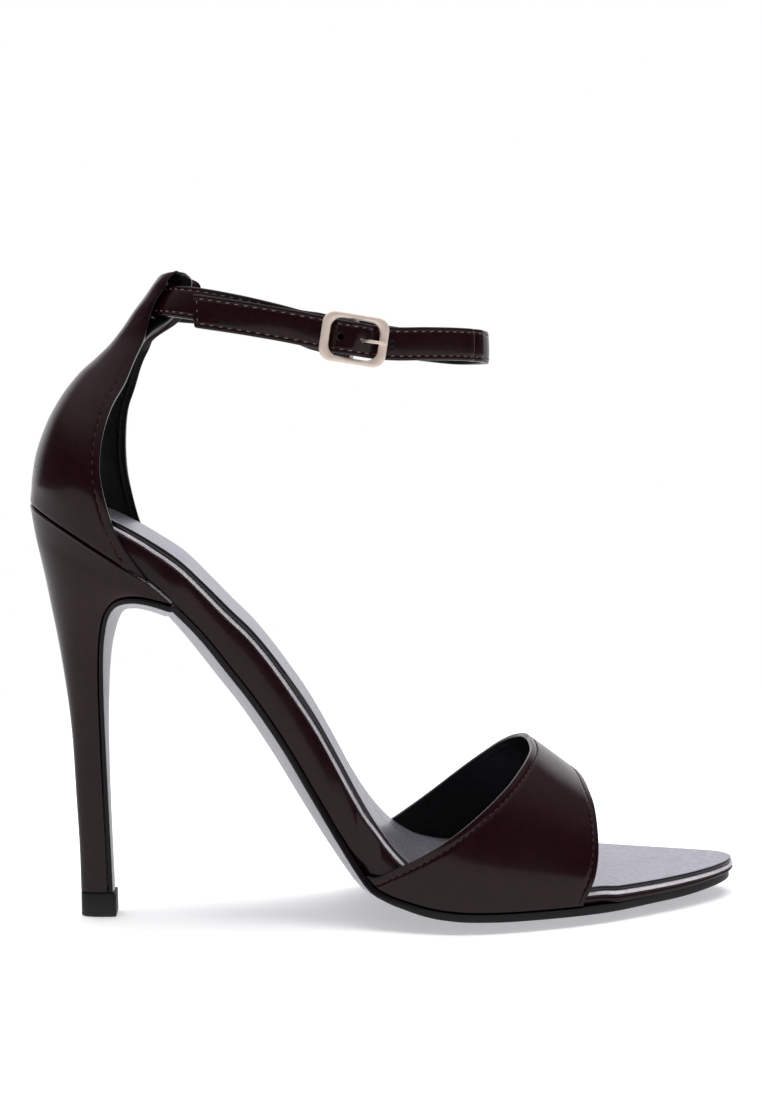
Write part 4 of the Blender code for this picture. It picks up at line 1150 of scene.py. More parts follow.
def finish_of(name):
    """The finish of this name, built on object coordinates the first time that a piece asks for it."""
    if name in FINISHES:
        return FINISHES[name]
    rows = finish_rows(bpy.context.scene.sandal.looks)
    title, plain_values, patterns, colours, roughness, bumps = rows[name]
    made = FINISHES[name] = bpy.data.materials.new(title)
    made.use_nodes = True
    tree = made.node_tree
    shader = tree.nodes["Principled BSDF"]
    for socket, value in plain_values.items():
        shader.inputs[socket].default_value = value
    places = added(tree, "ShaderNodeTexCoord", (-1300, 0)).outputs["Object"]
    found = patterned(tree, places, patterns)
    mask, first, second = colours
    second = second if isinstance(second, tuple) else times(first, second)
    ends = {"A": (*first, 1.0), "B": (*second, 1.0)}
    mix = added(tree, "ShaderNodeMix", (-350, 300), {"data_type": "RGBA"}, ends)
    tree.links.new(found[mask], mix.inputs["Factor"])
    tree.links.new(mix.outputs["Result"], shader.inputs["Base Color"])
    mask, low, high = roughness
    tree.links.new(ranged(tree, found[mask], 0.0, 1.0, low, high, (-350, 0)), shader.inputs["Roughness"])
    end = shader.inputs["Normal"]
    for row, (pattern, depth) in enumerate(bumps[::-1]):
        bump = added(tree, "ShaderNodeBump", (-200 - 150 * row, -300), inputs={"Distance": depth})
        tree.links.new(found[pattern], bump.inputs["Height"])
        tree.links.new(bump.outputs["Normal"], end)
        end = bump.inputs["Normal"]
    return made


def finishes_of(*names):
    return [finish_of(name) for name in names]


def make_outsole(settings):
    """One ribbon of sole from the heel over the arch to the tread, black at its edge and grey below."""
    rows = breast_rows()
    count = len(rows)
    values = np.array([
        (*row["front"], *row["down"], row["half"], row["crown"],
         FLAP_THICK + (SHANK_THICK - FLAP_THICK) * ramp(i / count, 0.45, 1))
        for i, row in enumerate(rows)
    ])
    values = refined(values, BREAST_ROWS)
    x = to_tips(sole_start(), place_of(1) - TOE_OVERHANG, 170, start_tip=False)
    outer, inner = outsole_plan(x)
    steep = steepness(x)
    down = np.stack([slope_of(feather, x) / steep, -1 / steep], axis=-1)
    place = np.vstack([values[:, :2], np.stack([x, feather(x)], axis=-1)])
    down = np.vstack([values[:, 2:4], down])
    down /= np.linalg.norm(down, axis=1)[:, None]
    ahead = np.stack([-down[:, 1], down[:, 0]], axis=-1)
    thick_ahead = SHANK_THICK + (TREAD_THICK - SHANK_THICK) * ramp(x, place_of(0.45), place_of(0.55))
    thick = np.concatenate([values[:, 6], thick_ahead])
    crown = np.concatenate([values[:, 5], last_value("crown", x, BOTTOM_CROWN)])
    frames = {
        "upper": (place, ahead, down),
        "lower": (place + down * thick[:, None], ahead, down),
        "upper_sag": crown,
        "lower_sag": crown,
        "sides": (np.concatenate([-values[:, 4], outer]), np.concatenate([values[:, 4], inner])),
        "travel": travelled(place),
        "round": 1.0,
    }
    profile = (
        (0.55 * MM, "upper", 0.00 * MM, 1), (0.20 * MM, "upper", 0.05 * MM, 1),
        (0.03 * MM, "upper", 0.20 * MM, 1), (0.00 * MM, "upper", 0.42 * MM, 1),
        (0.00 * MM, "lower", 0.55 * MM, 1), (0.05 * MM, "lower", 0.26 * MM, 1),
        (0.24 * MM, "lower", 0.06 * MM, 0), (0.60 * MM, "lower", 0.00 * MM, 0),
    )
    made = plank("leather_sole", frames, profile, 19, finishes_of("sole_grey", "sole_edge"))
    return on_shoe(smooth_shaded(made), "sole_leather", "outsole")


def make_heel(settings):
    """The covered heel: its section turns round from the thin breast edges, and its rim is rounded."""
    rows = breast_rows()
    angles = np.linspace(-90, 90, HEEL_GRID[1])
    turned = np.radians(np.abs(angles))
    reach = squareness(turned, SEAT_FULLNESS)
    across = np.linspace(1, -1, 15)[1:-1]
    rings = []
    for i, row in enumerate(rows):
        depth = 1 - reach * np.cos(turned)
        spot = row["back"] + (row["front"] - row["back"]) * depth[:, None]
        if i == len(rows) - 1:
            outer, inner = plan(spot[:, 0])
            y = np.where(angles > 0, inner, np.where(angles < 0, outer, 0.0))
            z = feather(spot[:, 0]) - GAP * steepness(spot[:, 0])
            ring = np.stack([spot[:, 0], y, z], axis=-1)
        else:
            y = np.sign(angles) * reach * np.sin(turned) * row["half"]
            ring = np.stack([spot[:, 0], y, spot[:, 1]], axis=-1)
            for corner in (0, -1):
                ring[corner] -= np.array([row["down"][0], 0, row["down"][1]]) * GAP
        covered = []
        for u in across:
            at = row["front"] + row["down"] * (row["crown"] * (1 - u * u) - GAP)
            covered.append((at[0], u * row["half"], at[1]))
        rings.append(np.vstack([ring, covered, ring[:1]]))
    knots = [i for i in range(len(rows)) if i != len(rows) - 2]
    kept = np.array([rings[i] for i in knots])
    grid = smooth(knots, kept.reshape(len(knots), -1), np.linspace(0, knots[-1], HEEL_GRID[0]))
    grid = grid.reshape(HEEL_GRID[0], -1, 3)
    rim = grid[-1]
    inwards = (rim.mean(axis=0) - rim) * (1, 1, 0)
    inwards /= np.linalg.norm(inwards, axis=1)[:, None]
    up = np.array((0, 0, 1))
    corner = settings.edges.heel_rim
    turns = np.radians((0, 22, 45, 68, 90))
    top = [rim + inwards * corner * (1 - math.cos(t)) - up * corner * (1 - math.sin(t)) for t in turns]
    top += [top[-1] * (1, keep, 1) for keep in (0.5, 0.0)]
    grid = np.concatenate([grid[:-1], top])
    made = closed_up(laid_grid("covered_heel", grid, [finish_of("patent")]))
    return on_shoe(smooth_shaded(made), "patent_leather", "heel")


def make_heel_tip(settings):
    """The rubber top piece, rounded at the back and softened at the floor."""
    angles = np.radians(np.linspace(-90, 90, 49))
    reach = squareness(angles, SEAT_FULLNESS)
    x = TIP_LENGTH / 2 - reach * np.cos(angles) * TIP_LENGTH
    y = reach * np.sin(angles) * TIP_HALF_WIDTH
    front = np.linspace(1, -1, 9)[1:-1] * TIP_HALF_WIDTH
    ring_x = np.concatenate([x, np.full(len(front), TIP_LENGTH / 2), x[:1]])
    ring_y = np.concatenate([y, front, y[:1]])
    rows = []
    for z, shrink in ((0, TIP_CHAMFER), (0.1 * MM, 0.15 * MM), (TIP_CHAMFER, 0), (TIP_HEIGHT - 0.3 * MM, 0),
                      (TIP_HEIGHT - 0.08 * MM, 0.08 * MM), (TIP_HEIGHT, 0.3 * MM)):
        keep_x, keep_y = 1 - 2 * shrink / TIP_LENGTH, 1 - shrink / TIP_HALF_WIDTH
        rows.append(np.stack([ring_x * keep_x, ring_y * keep_y, np.full(len(ring_x), z)], axis=-1))
    made = closed_up(laid_grid("rubber_tip", rows, [finish_of("tip_rubber")]))
    made = bevelled(made, 0.25 * MM, angle=60, segments=2)
    return on_shoe(smooth_shaded(made), "tip_rubber", "heel_tip")


def make_board(settings):
    """The covered board, with a small bead round its upper edge that is broader at the toe. Its top and its
    upper rim down to the bead are coloured pale: a painted highlight.
    """
    x = to_tips(place_of(0) + SEAT_CLEARANCE, place_of(1), 230)
    top = np.stack([x, board_top(x)], axis=-1)
    bottom = np.stack([x, feather(x)], axis=-1)
    crown = last_value("crown", x, BOTTOM_CROWN) * ramp(x, sole_start() - MM, sole_start() + MM)
    sag = np.maximum(crown - 1.4 * GAP, -1.4 * GAP) * ramp(x, sole_start() - MM, sole_start() + MM)
    toe = ramp(x, place_of(0.74), place_of(0.80))
    frames = {
        "upper": xz_frames(top),
        "lower": xz_frames(bottom),
        "upper_sag": dish(x),
        "lower_sag": sag,
        "sides": plan(x, board_inset(x), seat_inset=SEAT_CLEARANCE),
        "travel": travelled(bottom),
        "round": 1.0 + 0.5 * toe,
    }
    bead = settings.edges.bead
    # Faces in finish 1, the top and the upper rim down to the bead, get the pale painted highlight.
    profile = (
        (1.70 * MM, "upper", 0.00, 1), (1.15 * MM, "upper", -0.10 * MM, 1),
        (0.80 * MM, "upper", -0.14 * MM, 1), (0.42 * MM, "upper", -0.06 * MM, 1),
        (0.14 * MM, "upper", 0.12 * MM, 1), (0.00 * MM, "upper", 0.36 * MM, 1),
        (0.06 * MM, "upper", bead - 0.12 * MM, 1), (0.34 * MM, "upper", bead + 0.04 * MM, 2),
        (0.36 * MM, "upper", bead + 0.22 * MM, 2), (0.10 * MM, "upper", bead + 0.40 * MM, 0),
        (0.00 * MM, "upper", bead + 0.70 * MM, 0),
        (0.00 * MM, "lower", 0.45 * MM, 0), (0.10 * MM, "lower", 0.14 * MM, 0), (0.45 * MM, "lower", 0.00, 0),
    )
    finishes = finishes_of("patent", "painted_highlight_rim", "painted_edge")
    made = plank("covered_board", frames, profile, 15, finishes, start_tip=True)
    return on_shoe(smooth_shaded(made), "patent_leather", "insole_board")


def make_sock(settings):
    """The grey sock on the board, with its black cut edge."""
    inset = SEAT_CLEARANCE + SOCK_INSET
    x = to_tips(place_of(0) + inset, place_of(1) - SOCK_INSET, 230)
    toe = ramp(x, place_of(0.74), place_of(0.80))
    top = np.stack([x, seat(x)], axis=-1)
    bottom = np.stack([x, seat(x) - SOCK_THICK * steepness(x)], axis=-1)
    drawn_in = board_inset(x) + SOCK_INSET + settings.edges.sock_draw * toe
    frames = {
        "upper": xz_frames(top),
        "lower": xz_frames(bottom),
        "upper_sag": dish(x),
        "lower_sag": dish(x),
        "sides": plan(x, drawn_in, seat_inset=inset, toe_inset=SOCK_INSET),
        "travel": travelled(bottom),
        "round": 1.0,
    }
    profile = (
        (0.70 * MM, "upper", 0.00, 0), (0.34 * MM, "upper", 0.03 * MM, 0),
        (0.12 * MM, "upper", 0.14 * MM, 1), (0.00 * MM, "upper", 0.34 * MM, 1),
        (0.00 * MM, "lower", 0.25 * MM, 1), (0.10 * MM, "lower", 0.00 * MM, 1),
    )
    made = plank("grey_sock", frames, profile, 25, finishes_of("sock_grey", "painted_edge"), start_tip=True)
    return on_shoe(smooth_shaded(made), "sock_leather", "insole_sock")


def near_columns(stitch_inset):
    """Distances from an edge at which a stitched face has its columns, close round the stitch line."""
    steps = np.array([-0.9, -0.55, -0.3, -0.15, 0.0, 0.15, 0.3, 0.55, 0.9, 1.4, 2.2]) * MM
    return np.concatenate([[0.0, 0.25 * MM, 0.6 * MM], stitch_inset + steps])


def stitched_face(grid, inset, depth, rows_deep):
    """(face, normals) with the stitch lines pressed in. rows_deep: how deep at each row, 0 to 1."""
    face, distance = measured(grid, near_columns(inset), 40)
    normals = face_normals(face)
    press = depth * dent(distance - inset, 0.42 * MM)
    face = face - normals * (press[None, :] * rows_deep[:, None])[:, :, None]
    return face, normals


def edge_seams(names, face, normals, inset, pitch, settings, start, end, keep=slice(None)):
    """A seam of dark thread along both edges of a stitched face."""
    sizes = settings.stitches
    first = len(near_columns(inset)) - STITCH_COLUMN
    for name, at in zip(names, (first, face.shape[1] - 1 - first)):
        lifted = (face[:, at] + normals[:, at] * sizes.thread_thickness * THREAD_LIFT)[keep]
        sewn(name, lifted, normals[keep, at], pitch, "dark_thread", sizes, start, end)


def make_vamp(settings):
    """The wide strap over the toes: one patent wall with black lining, stitched along both edges."""
    sizes = settings.stitches
    girths = np.sin(np.linspace(-1, 1, VAMP_GRID[0]) * math.pi / 2)
    grid = vamp_surface(girths, np.linspace(0, 1, VAMP_GRID[1]))
    face, normals = stitched_face(grid, sizes.vamp_inset, sizes.groove, np.ones(len(grid)))
    place, size, reach = VAMP_DENT
    away = np.linalg.norm(face - np.array(place), axis=2)
    face = face - normals * (size * dent(away, reach))[:, :, None]
    finishes = finishes_of("patent", "black_lining", "painted_edge")
    made = walled("vamp", face, normals, VAMP_WALL, settings.edges.cut_edge, finishes)
    on_shoe(made, "patent_leather", "vamp_strap")
    edge_seams(("vamp_rear_stitches", "vamp_front_stitches"), face, normals, sizes.vamp_inset,
               sizes.pitch * VAMP_PITCH, settings, 3 * MM, 3 * MM)


def make_counter(settings):
    """The closed back with its neck and the tab that folds over as a loop."""
    sizes = settings.stitches
    coarse = counter_surface(np.linspace(-90, 90, COUNTER_GRID[1]))
    grid = refined(coarse, COUNTER_GRID[0])
    rows = np.linspace(0, len(coarse) - 1, COUNTER_GRID[0])
    deep = 1 - ramp(rows, STITCHED_ROWS, STITCHED_ROWS + 1.5)
    face, normals = stitched_face(grid, sizes.counter_inset, sizes.groove, deep)
    for row_at, depth, width in COUNTER_CREASES:
        face = face - normals * (depth * dent(rows - row_at, width))[:, None, None]
    finishes = finishes_of("patent", "black_lining", "painted_edge")
    made = walled("heel_counter_leather", face, normals, COUNTER_WALL, settings.edges.cut_edge, finishes,
                  squeeze=COUNTER_SQUEEZE)
    on_shoe(made, "patent_leather", "heel_counter")
    edge_seams(("counter_outer_stitches", "counter_inner_stitches"), face, normals, sizes.counter_inset,
               sizes.pitch, settings, 1.5 * MM, 0.0, rows < STITCHED_ROWS + 0.3)


def strap_offsets(total, at):
    rows = layers(total)
    return smooth(rows[:, 0], rows[:, 1:], at).T


def strap_creases(at, total):
    """How far the strap's face moves out at the creases that wearing it has left."""
    moved = np.zeros_like(at)
    for share, depth, width in STRAP_CREASES:
        moved += depth * dent(at - share * total, width)
    return moved


def make_strap(settings):
    """The ankle strap: through the tab's loop, under the buckle's side bars and over its middle bar."""
    sizes = settings.stitches
    line = route_line()
    total = line[2]
    end = total + TONGUE_LENGTH
    body = np.arange(0.4 * MM, end - 0.4 * MM, 0.75 * MM)
    at = np.concatenate([[0, 0.06 * MM, 0.18 * MM], body, [end - 0.18 * MM, end - 0.06 * MM, end]])
    tuck = np.concatenate([[0.3, 0.1, 0.03], np.zeros(len(body)), [0.03, 0.1, 0.3]]) * MM
    places, ahead, outward, upward = strap_frames(line, at)
    off, drop = strap_offsets(total, at)
    off = off + strap_creases(at, total)
    half, thick, turn = STRAP_WIDTH / 2, STRAP_THICK / 2, 0.42 * MM
    profile = [(up, -thick, 1) for up in np.linspace(-half + turn, half - turn, 9)]
    arc = np.radians((22, 45, 68))
    profile += [(half - turn * (1 - math.sin(a)), -thick + turn * (1 - math.cos(a)), 2) for a in arc]
    profile += [(half, -thick + turn, 2), (half, 0.0, 2), (half, thick - turn, 2)]
    profile += [(half - turn * (1 - math.cos(a)), thick - turn * (1 - math.sin(a)), 2) for a in arc]
    line_at = half - sizes.strap_inset
    fine = np.array([-0.5, -0.28, -0.14, 0.0, 0.14, 0.28, 0.5]) * MM
    ups = np.concatenate([[half - turn], line_at - fine, np.linspace(line_at - 0.9 * MM, 0.0, 6)])
    ups = np.concatenate([ups, -ups[:-1][::-1]])
    profile += [(up, thick, 0) for up in ups]
    profile += [(-half + turn * (1 - math.cos(a)), thick - turn * (1 - math.sin(a)), 2) for a in arc[::-1]]
    profile += [(-half, thick - turn, 2), (-half, 0.0, 2), (-half, -thick + turn, 2)]
    profile += [(-half + turn * (1 - math.sin(a)), -thick + turn * (1 - math.cos(a)), 2) for a in arc[::-1]]
    bands = [band for _, _, band in profile]
    profile.append(profile[0])
    slant = TONGUE_SLANT / 2 * ramp(at, end - SLANT_LENGTH, end)
    wider = 1 + (BUCKLE_FILL - 1) * (1 - ramp(at, 10 * MM, 17 * MM))
    columns = []
    for up, out, band in profile:
        out_here = np.full(len(at), float(out))
        if band == 0:
            puff = sizes.strap_puff * (1 - (up / half) ** 2)
            groove = sizes.groove * (dent(abs(up) - line_at, 0.24 * MM))
            out_here += puff - groove
        up_here = np.sign(up) * np.maximum(abs(up) - tuck, 0.0) * wider
        out_here = np.sign(out_here) * np.maximum(np.abs(out_here) - tuck, 0.0)
        shift = outward * (off + out_here)[:, None] + upward * (drop + up_here)[:, None]
        columns.append(places + shift - ahead * (slant * up / half)[:, None])
    finishes = finishes_of("strap_patent", "black_lining", "painted_edge")
    made = closed_up(laid_grid("ankle_band", np.stack(columns, axis=1), finishes, bands))
    smooth_shaded(made, 50)
    punch_holes(made, line)
    on_shoe(made, "patent_leather", "ankle_strap")
    on_shoe(hole_rims(line), "patent_leather")
    strap_stitches(line, sizes)
    return made


def hole_places(line):
    """(matrix, whether it is the prong's slot) of the three holes, with Z out of the strap's face."""
    total = line[2]
    side = (BUCKLE_LENGTH - BUCKLE_SIDE_BAR) / 2
    found = []
    for index in (-1, 0, 1):
        at = np.array([total - PRONG_HOLE * side + index * HOLE_PITCH / 2])
        places, ahead, outward, upward = strap_frames(line, at)
        off, drop = strap_offsets(total, at)
        spot = Vector(places[0] + outward[0] * (off[0] + STRAP_THICK / 2) + upward[0] * drop[0])
        turned = turned_to(ahead[0], upward[0], outward[0])
        found.append((Matrix.Translation(spot) @ turned, index == 0))
    return found


def punch_holes(made, line):
    """Cuts the pinholes through the strap with a round punch."""
    for place, slot in hole_places(line):
        # The punch carries the near-black hole finish over to the cut walls: painted shade inside the holes.
        punch = primitive(bpy.ops.mesh.primitive_cylinder_add, "needle_hole_shade", vertices=24,
                          radius=HOLE_RADIUS, depth=3 * STRAP_THICK)
        longer = PRONG_SLOT if slot else 1.0
        sunk = Matrix.Translation((0, 0, -STRAP_THICK / 2))
        punch.matrix_world = place @ sunk @ Matrix.Diagonal((longer, 1, 1, 1))
        only(made)
        cut = made.modifiers.new("Punch", "BOOLEAN")
        cut.operation = "DIFFERENCE"
        cut.object = punch
        cut.material_mode = "TRANSFER"
        bpy.ops.object.modifier_apply(modifier="Punch")
        bpy.data.objects.remove(punch)


def hole_rims(line):
    """The pressed rim round each pinhole, which catches the light."""
    rims = []
    for place, slot in hole_places(line):
        if slot:
            continue
        rim = primitive(bpy.ops.mesh.primitive_torus_add, "painted_edge", major_segments=32,
                        minor_segments=8, major_radius=HOLE_RADIUS + RIM_OUT, minor_radius=RIM_THICK)
        sunk = Matrix.Translation((0, 0, -RIM_SUNK))
        rim.matrix_world = place @ sunk @ Matrix.Diagonal((1, 1, 0.8, 1))
        settled(rim)
        bpy.ops.object.shade_smooth()
        rims.append(rim)
    return joined("hole_rims", rims)


def strap_stitches(line, sizes):
    """Both rows along the strap, and the row across the tongue's cut end."""
    last = line[2] + TONGUE_LENGTH - sizes.strap_inset * 0.9
    line_at = STRAP_WIDTH / 2 - sizes.strap_inset
    for name, sign in (("strap_upper_stitches", 1), ("strap_lower_stitches", -1)):
        at = np.arange(SEAM_START, last, 0.5 * MM)
        points, normals = strap_points(line, at, np.full(len(at), sign * line_at), sizes)
        sewn(name, points, normals, sizes.pitch, "light_thread", sizes)
    up = np.linspace(-line_at, line_at, 20)
    points, normals = strap_points(line, np.full(len(up), last - 0.15 * MM), up, sizes)
    sewn("tongue_end_stitches", points, normals, sizes.pitch * TONGUE_PITCH, "light_thread", sizes)


def strap_points(line, at, up, sizes):
    """Places on the strap's face at these distances along and heights across it, with the way out."""
    end = line[2] + TONGUE_LENGTH
    places, ahead, outward, upward = strap_frames(line, at)
    off, drop = strap_offsets(line[2], at)
    off = off + strap_creases(at, line[2])
    half = STRAP_WIDTH / 2
    slant = TONGUE_SLANT / 2 * ramp(at, end - SLANT_LENGTH, end)
    lift = STRAP_THICK / 2 + sizes.strap_puff * (1 - (up / half) ** 2)
    lift += sizes.thread_thickness * THREAD_LIFT - sizes.groove
    shift = outward * (off + lift)[:, None] + upward * (drop + up)[:, None]
    return places + shift - ahead * (slant * up / half)[:, None], outward


def corner_outline(length, width, corner, steps):
    """Points round a rectangle with rounded corners."""
    points = []
    for quarter in range(4):
        sx = 1 if quarter in (0, 3) else -1
        sy = 1 if quarter in (0, 1) else -1
        for i in range(steps):
            angle = math.radians(90 * quarter + 90 * i / (steps - 1))
            points.append((sx * (length / 2 - corner) + corner * math.cos(angle),
                           sy * (width / 2 - corner) + corner * math.sin(angle)))
    return np.array(points)


def make_buckle(settings):
    """The cast frame with a soft rounded section, and its middle bar."""
    place = buckle_place(route_line())
    steps, around = 13, 20
    window = (BUCKLE_LENGTH - 2 * BUCKLE_SIDE_BAR, BUCKLE_WIDTH - 2 * BUCKLE_END_BAR)
    outer = corner_outline(BUCKLE_LENGTH, BUCKLE_WIDTH, BUCKLE_CORNER, steps)
    inner = corner_outline(*window, BUCKLE_CORNER * 0.9, steps)
    made = primitive(bpy.ops.mesh.primitive_torus_add, "rose_gold", major_segments=4 * steps,
                     minor_segments=around)
    points = []
    for far, near in zip(outer, inner):
        middle, reach = (far + near) / 2, (far - near) / 2
        for k in range(around):
            angle = 2 * math.pi * k / around
            across = math.copysign(abs(math.cos(angle)) ** (2 / BUCKLE_SQUARE), math.cos(angle))
            up = math.copysign(abs(math.sin(angle)) ** (2 / BUCKLE_SQUARE), math.sin(angle))
            spot = middle + reach * across
            points.append(place @ Vector((spot[0], spot[1], up * BUCKLE_THICK / 2)))
    made.data.vertices.foreach_set("co", np.array(points).ravel())
    made.data.update()
    bar = primitive(bpy.ops.mesh.primitive_cylinder_add, "rose_gold", vertices=20,
                    radius=MIDDLE_BAR_RADIUS, depth=BUCKLE_WIDTH - BUCKLE_END_BAR)
    sunk = Matrix.Translation((0, 0, -MIDDLE_BAR_DEPTH))
    bar.matrix_world = place @ sunk @ Matrix.Rotation(math.pi / 2, 4, "X")
    whole = joined("buckle", [made, settled(bar)])
    edited(whole, (bpy.ops.mesh.normals_make_consistent, {"inside": False}))
    on_shoe(smooth_shaded(whole), "buckle_metal", "buckle_frame")
    on_shoe(make_prong(place), "buckle_metal", "buckle_prong")


def make_prong(place):
    """The prong: hooked round the middle bar, up through its hole, and down onto the toe-side bar."""
    side = (BUCKLE_LENGTH - BUCKLE_SIDE_BAR) / 2
    hook = MIDDLE_BAR_RADIUS + GAP + PRONG_RADIUS
    rest = BUCKLE_THICK / 2 + GAP + PRONG_RADIUS
    path = []
    for degrees in range(180, 331, 30):
        angle = math.radians(degrees)
        path.append((hook * math.cos(angle), hook * math.sin(angle) - MIDDLE_BAR_DEPTH))
    path += [(0.36 * side, -0.35 * hook), (0.55 * side, 0.45 * rest), (0.8 * side, 0.95 * rest)]
    path += [(side, rest), (side + 0.45 * BUCKLE_SIDE_BAR, 0.94 * rest)]
    points = refined(np.array(path), 61)
    ahead = np.gradient(points, axis=0)
    ahead /= np.linalg.norm(ahead, axis=1)[:, None]
    share = np.linspace(0, 1, len(points))
    radius = PRONG_RADIUS * (1 - 0.25 * ramp(share, 0.6, 1.0))
    radius[:3] *= (0.35, 0.75, 0.95)
    radius[-4:] *= (0.98, 0.9, 0.7, 0.3)
    rows = []
    for point, (dx, dz), r in zip(points, ahead, radius):
        ring = []
        for angle in np.linspace(0, 2 * math.pi, 15):
            y, out = r * math.cos(angle), r * math.sin(angle)
            ring.append(place @ Vector((point[0] - dz * out, y, point[1] + dx * out)))
        rows.append(ring)
    made = closed_up(laid_grid("prong", rows, [finish_of("rose_gold")]))
    return smooth_shaded(made, 60)


def make_floor(stage):
    """A plain pale floor under the whole studio."""
    nothing_selected()
    bpy.ops.mesh.primitive_plane_add(size=stage.floor_size, location=(0, 0, -0.02 * MM))
    floor = bpy.context.object
    floor.name = floor.data.name = "floor"
    bpy.ops.object.transform_apply(location=True, rotation=True, scale=True)
    finish = bpy.data.materials.new("pale_floor")
    finish.use_nodes = True
    tree = finish.node_tree
    shader = tree.nodes["Principled BSDF"]
    shader.inputs["Roughness"].default_value = 0.75
    shader.inputs["Specular IOR Level"].default_value = 0.0
    shader.inputs["Emission Color"].default_value = (1.0, 1.0, 1.0, 1.0)
    places = added(tree, "ShaderNodeTexCoord", (-1300, 0)).outputs["Object"]
    centred = added(tree, "ShaderNodeVectorMath", (-1100, 0), {"operation": "DISTANCE"})
    tree.links.new(places, centred.inputs[0])
    centred.inputs[1].default_value = (place_of(0.5), 0, 0)
    white = stage.white_from
    far = ranged(tree, centred.outputs["Value"], white, white * 2.5, 0.0, 1.0, (-900, 0))
    mix = added(tree, "ShaderNodeMix", (-350, 300), {"data_type": "RGBA"})
    mix.inputs["A"].default_value = (*stage.floor_colour, 1.0)
    mix.inputs["B"].default_value = (0.0, 0.0, 0.0, 1.0)
    tree.links.new(far, mix.inputs["Factor"])
    tree.links.new(mix.outputs["Result"], shader.inputs["Base Color"])
    glow = ranged(tree, far, 0.0, 1.0, stage.floor_glow, 1.0, (-600, -200))
    tree.links.new(glow, shader.inputs["Emission Strength"])
    reflected = added(tree, "ShaderNodeEmission", (0, -300), inputs={"Strength": stage.floor_gloss})
    either = added(tree, "ShaderNodeMixShader", (400, 0))
    tree.links.new(added(tree, "ShaderNodeLightPath", (0, 300)).outputs["Is Glossy Ray"], either.inputs[0])
    tree.links.new(shader.outputs[0], either.inputs[1])
    tree.links.new(reflected.outputs[0], either.inputs[2])
    tree.links.new(either.outputs[0], tree.nodes["Material Output"].inputs["Surface"])
    floor.data.materials.append(finish)


def make_studio_air(stage):
    """White behind the shoe, and soft light that is bright behind and dim above the camera."""
    world = bpy.data.worlds.new("studio")
    bpy.context.scene.world = world
    world.use_nodes = True
    tree = world.node_tree
    tree.nodes.clear()
    way = added(tree, "ShaderNodeTexCoord", (-1200, 0)).outputs["Generated"]
    split = added(tree, "ShaderNodeSeparateXYZ", (-1000, 0))
    tree.links.new(way, split.inputs[0])
    rise, full = stage.bright_from, stage.bright_from + BRIGHT_FADE
    behind = ranged(tree, split.outputs["Y"], rise, full, 0.0, stage.back_light, (-700, 200))
    above = ranged(tree, split.outputs["Z"], stage.front_height, 0.95, stage.front_light, stage.high_light,
                   (-700, -100))
    total = maths(tree, "ADD", behind, above, (-300, 0))
    seen = added(tree, "ShaderNodeLightPath", (-300, 300)).outputs["Is Camera Ray"]
    light = added(tree, "ShaderNodeBackground", (0, -100), inputs={"Color": (0.97, 0.97, 1.0, 1.0)})
    tree.links.new(total, light.inputs["Strength"])
    white = added(tree, "ShaderNodeBackground", (0, 100), inputs={"Color": (1, 1, 1, 1), "Strength": 1.0})
    mix = added(tree, "ShaderNodeMixShader", (200, 0))
    tree.links.new(seen, mix.inputs[0])
    tree.links.new(light.outputs[0], mix.inputs[1])
    tree.links.new(white.outputs[0], mix.inputs[2])
    out = added(tree, "ShaderNodeOutputWorld", (400, 0))
    tree.links.new(mix.outputs[0], out.inputs["Surface"])


def make_top_light(stage):
    """A soft area light above the shoe, which glossy faces don't show."""
    nothing_selected()
    bpy.ops.object.light_add(type="AREA", location=TOP_LIGHT_PLACE)
    light = bpy.context.object
    light.name = light.data.name = "top_light"
    light.data.shape = "RECTANGLE"
    light.data.size, light.data.size_y = TOP_LIGHT_SIZE
    light.data.energy = stage.top_power
    towards = Vector(TOP_LIGHT_TARGET) - Vector(TOP_LIGHT_PLACE)
    light.rotation_euler = towards.to_track_quat("-Z", "Y").to_euler()
    light.visible_camera = False
    light.visible_glossy = False


def make_camera(stage):
    """The photograph's camera: almost level, a little above the sole, square to the outer side."""
    data = bpy.data.cameras.new("photo_camera")
    data.sensor_fit = "AUTO"
    data.sensor_width = 36.0
    data.lens = stage.lens
    data.clip_start, data.clip_end = 0.01, 50.0
    camera = bpy.data.objects.new("photo_camera", data)
    bpy.context.scene.collection.objects.link(camera)
    tilt, turn, roll = stage.camera_tilt, stage.camera_turn, stage.camera_roll
    ahead = Vector((math.sin(turn) * math.cos(tilt), math.cos(turn) * math.cos(tilt), -math.sin(tilt)))
    right = ahead.cross(Vector((0, 0, 1))).normalized()
    up = right.cross(ahead)
    across = right * math.cos(roll) + up * math.sin(roll)
    above = up * math.cos(roll) - right * math.sin(roll)
    camera.matrix_world = (Matrix.Translation(stage.camera_place)
                           @ Matrix((across, above, -ahead)).transposed().to_4x4())
    bpy.context.scene.camera = camera


def amount(name, description, default, **more):
    return FloatProperty(name=name, description=description, default=default, **more)


def length(name, description, default):
    return amount(name, description, default, min=0.0, unit="LENGTH", precision=5)


def turning(name, description, degrees):
    return amount(name, description, math.radians(degrees), unit="ROTATION")


def colour(name, description, default):
    return FloatVectorProperty(name=name, description=description, subtype="COLOR", size=3, min=0.0, max=1.0,
                               default=default)


def share(name, description, default):
    return amount(name, description, default, subtype="FACTOR", min=0.0, max=1.0)


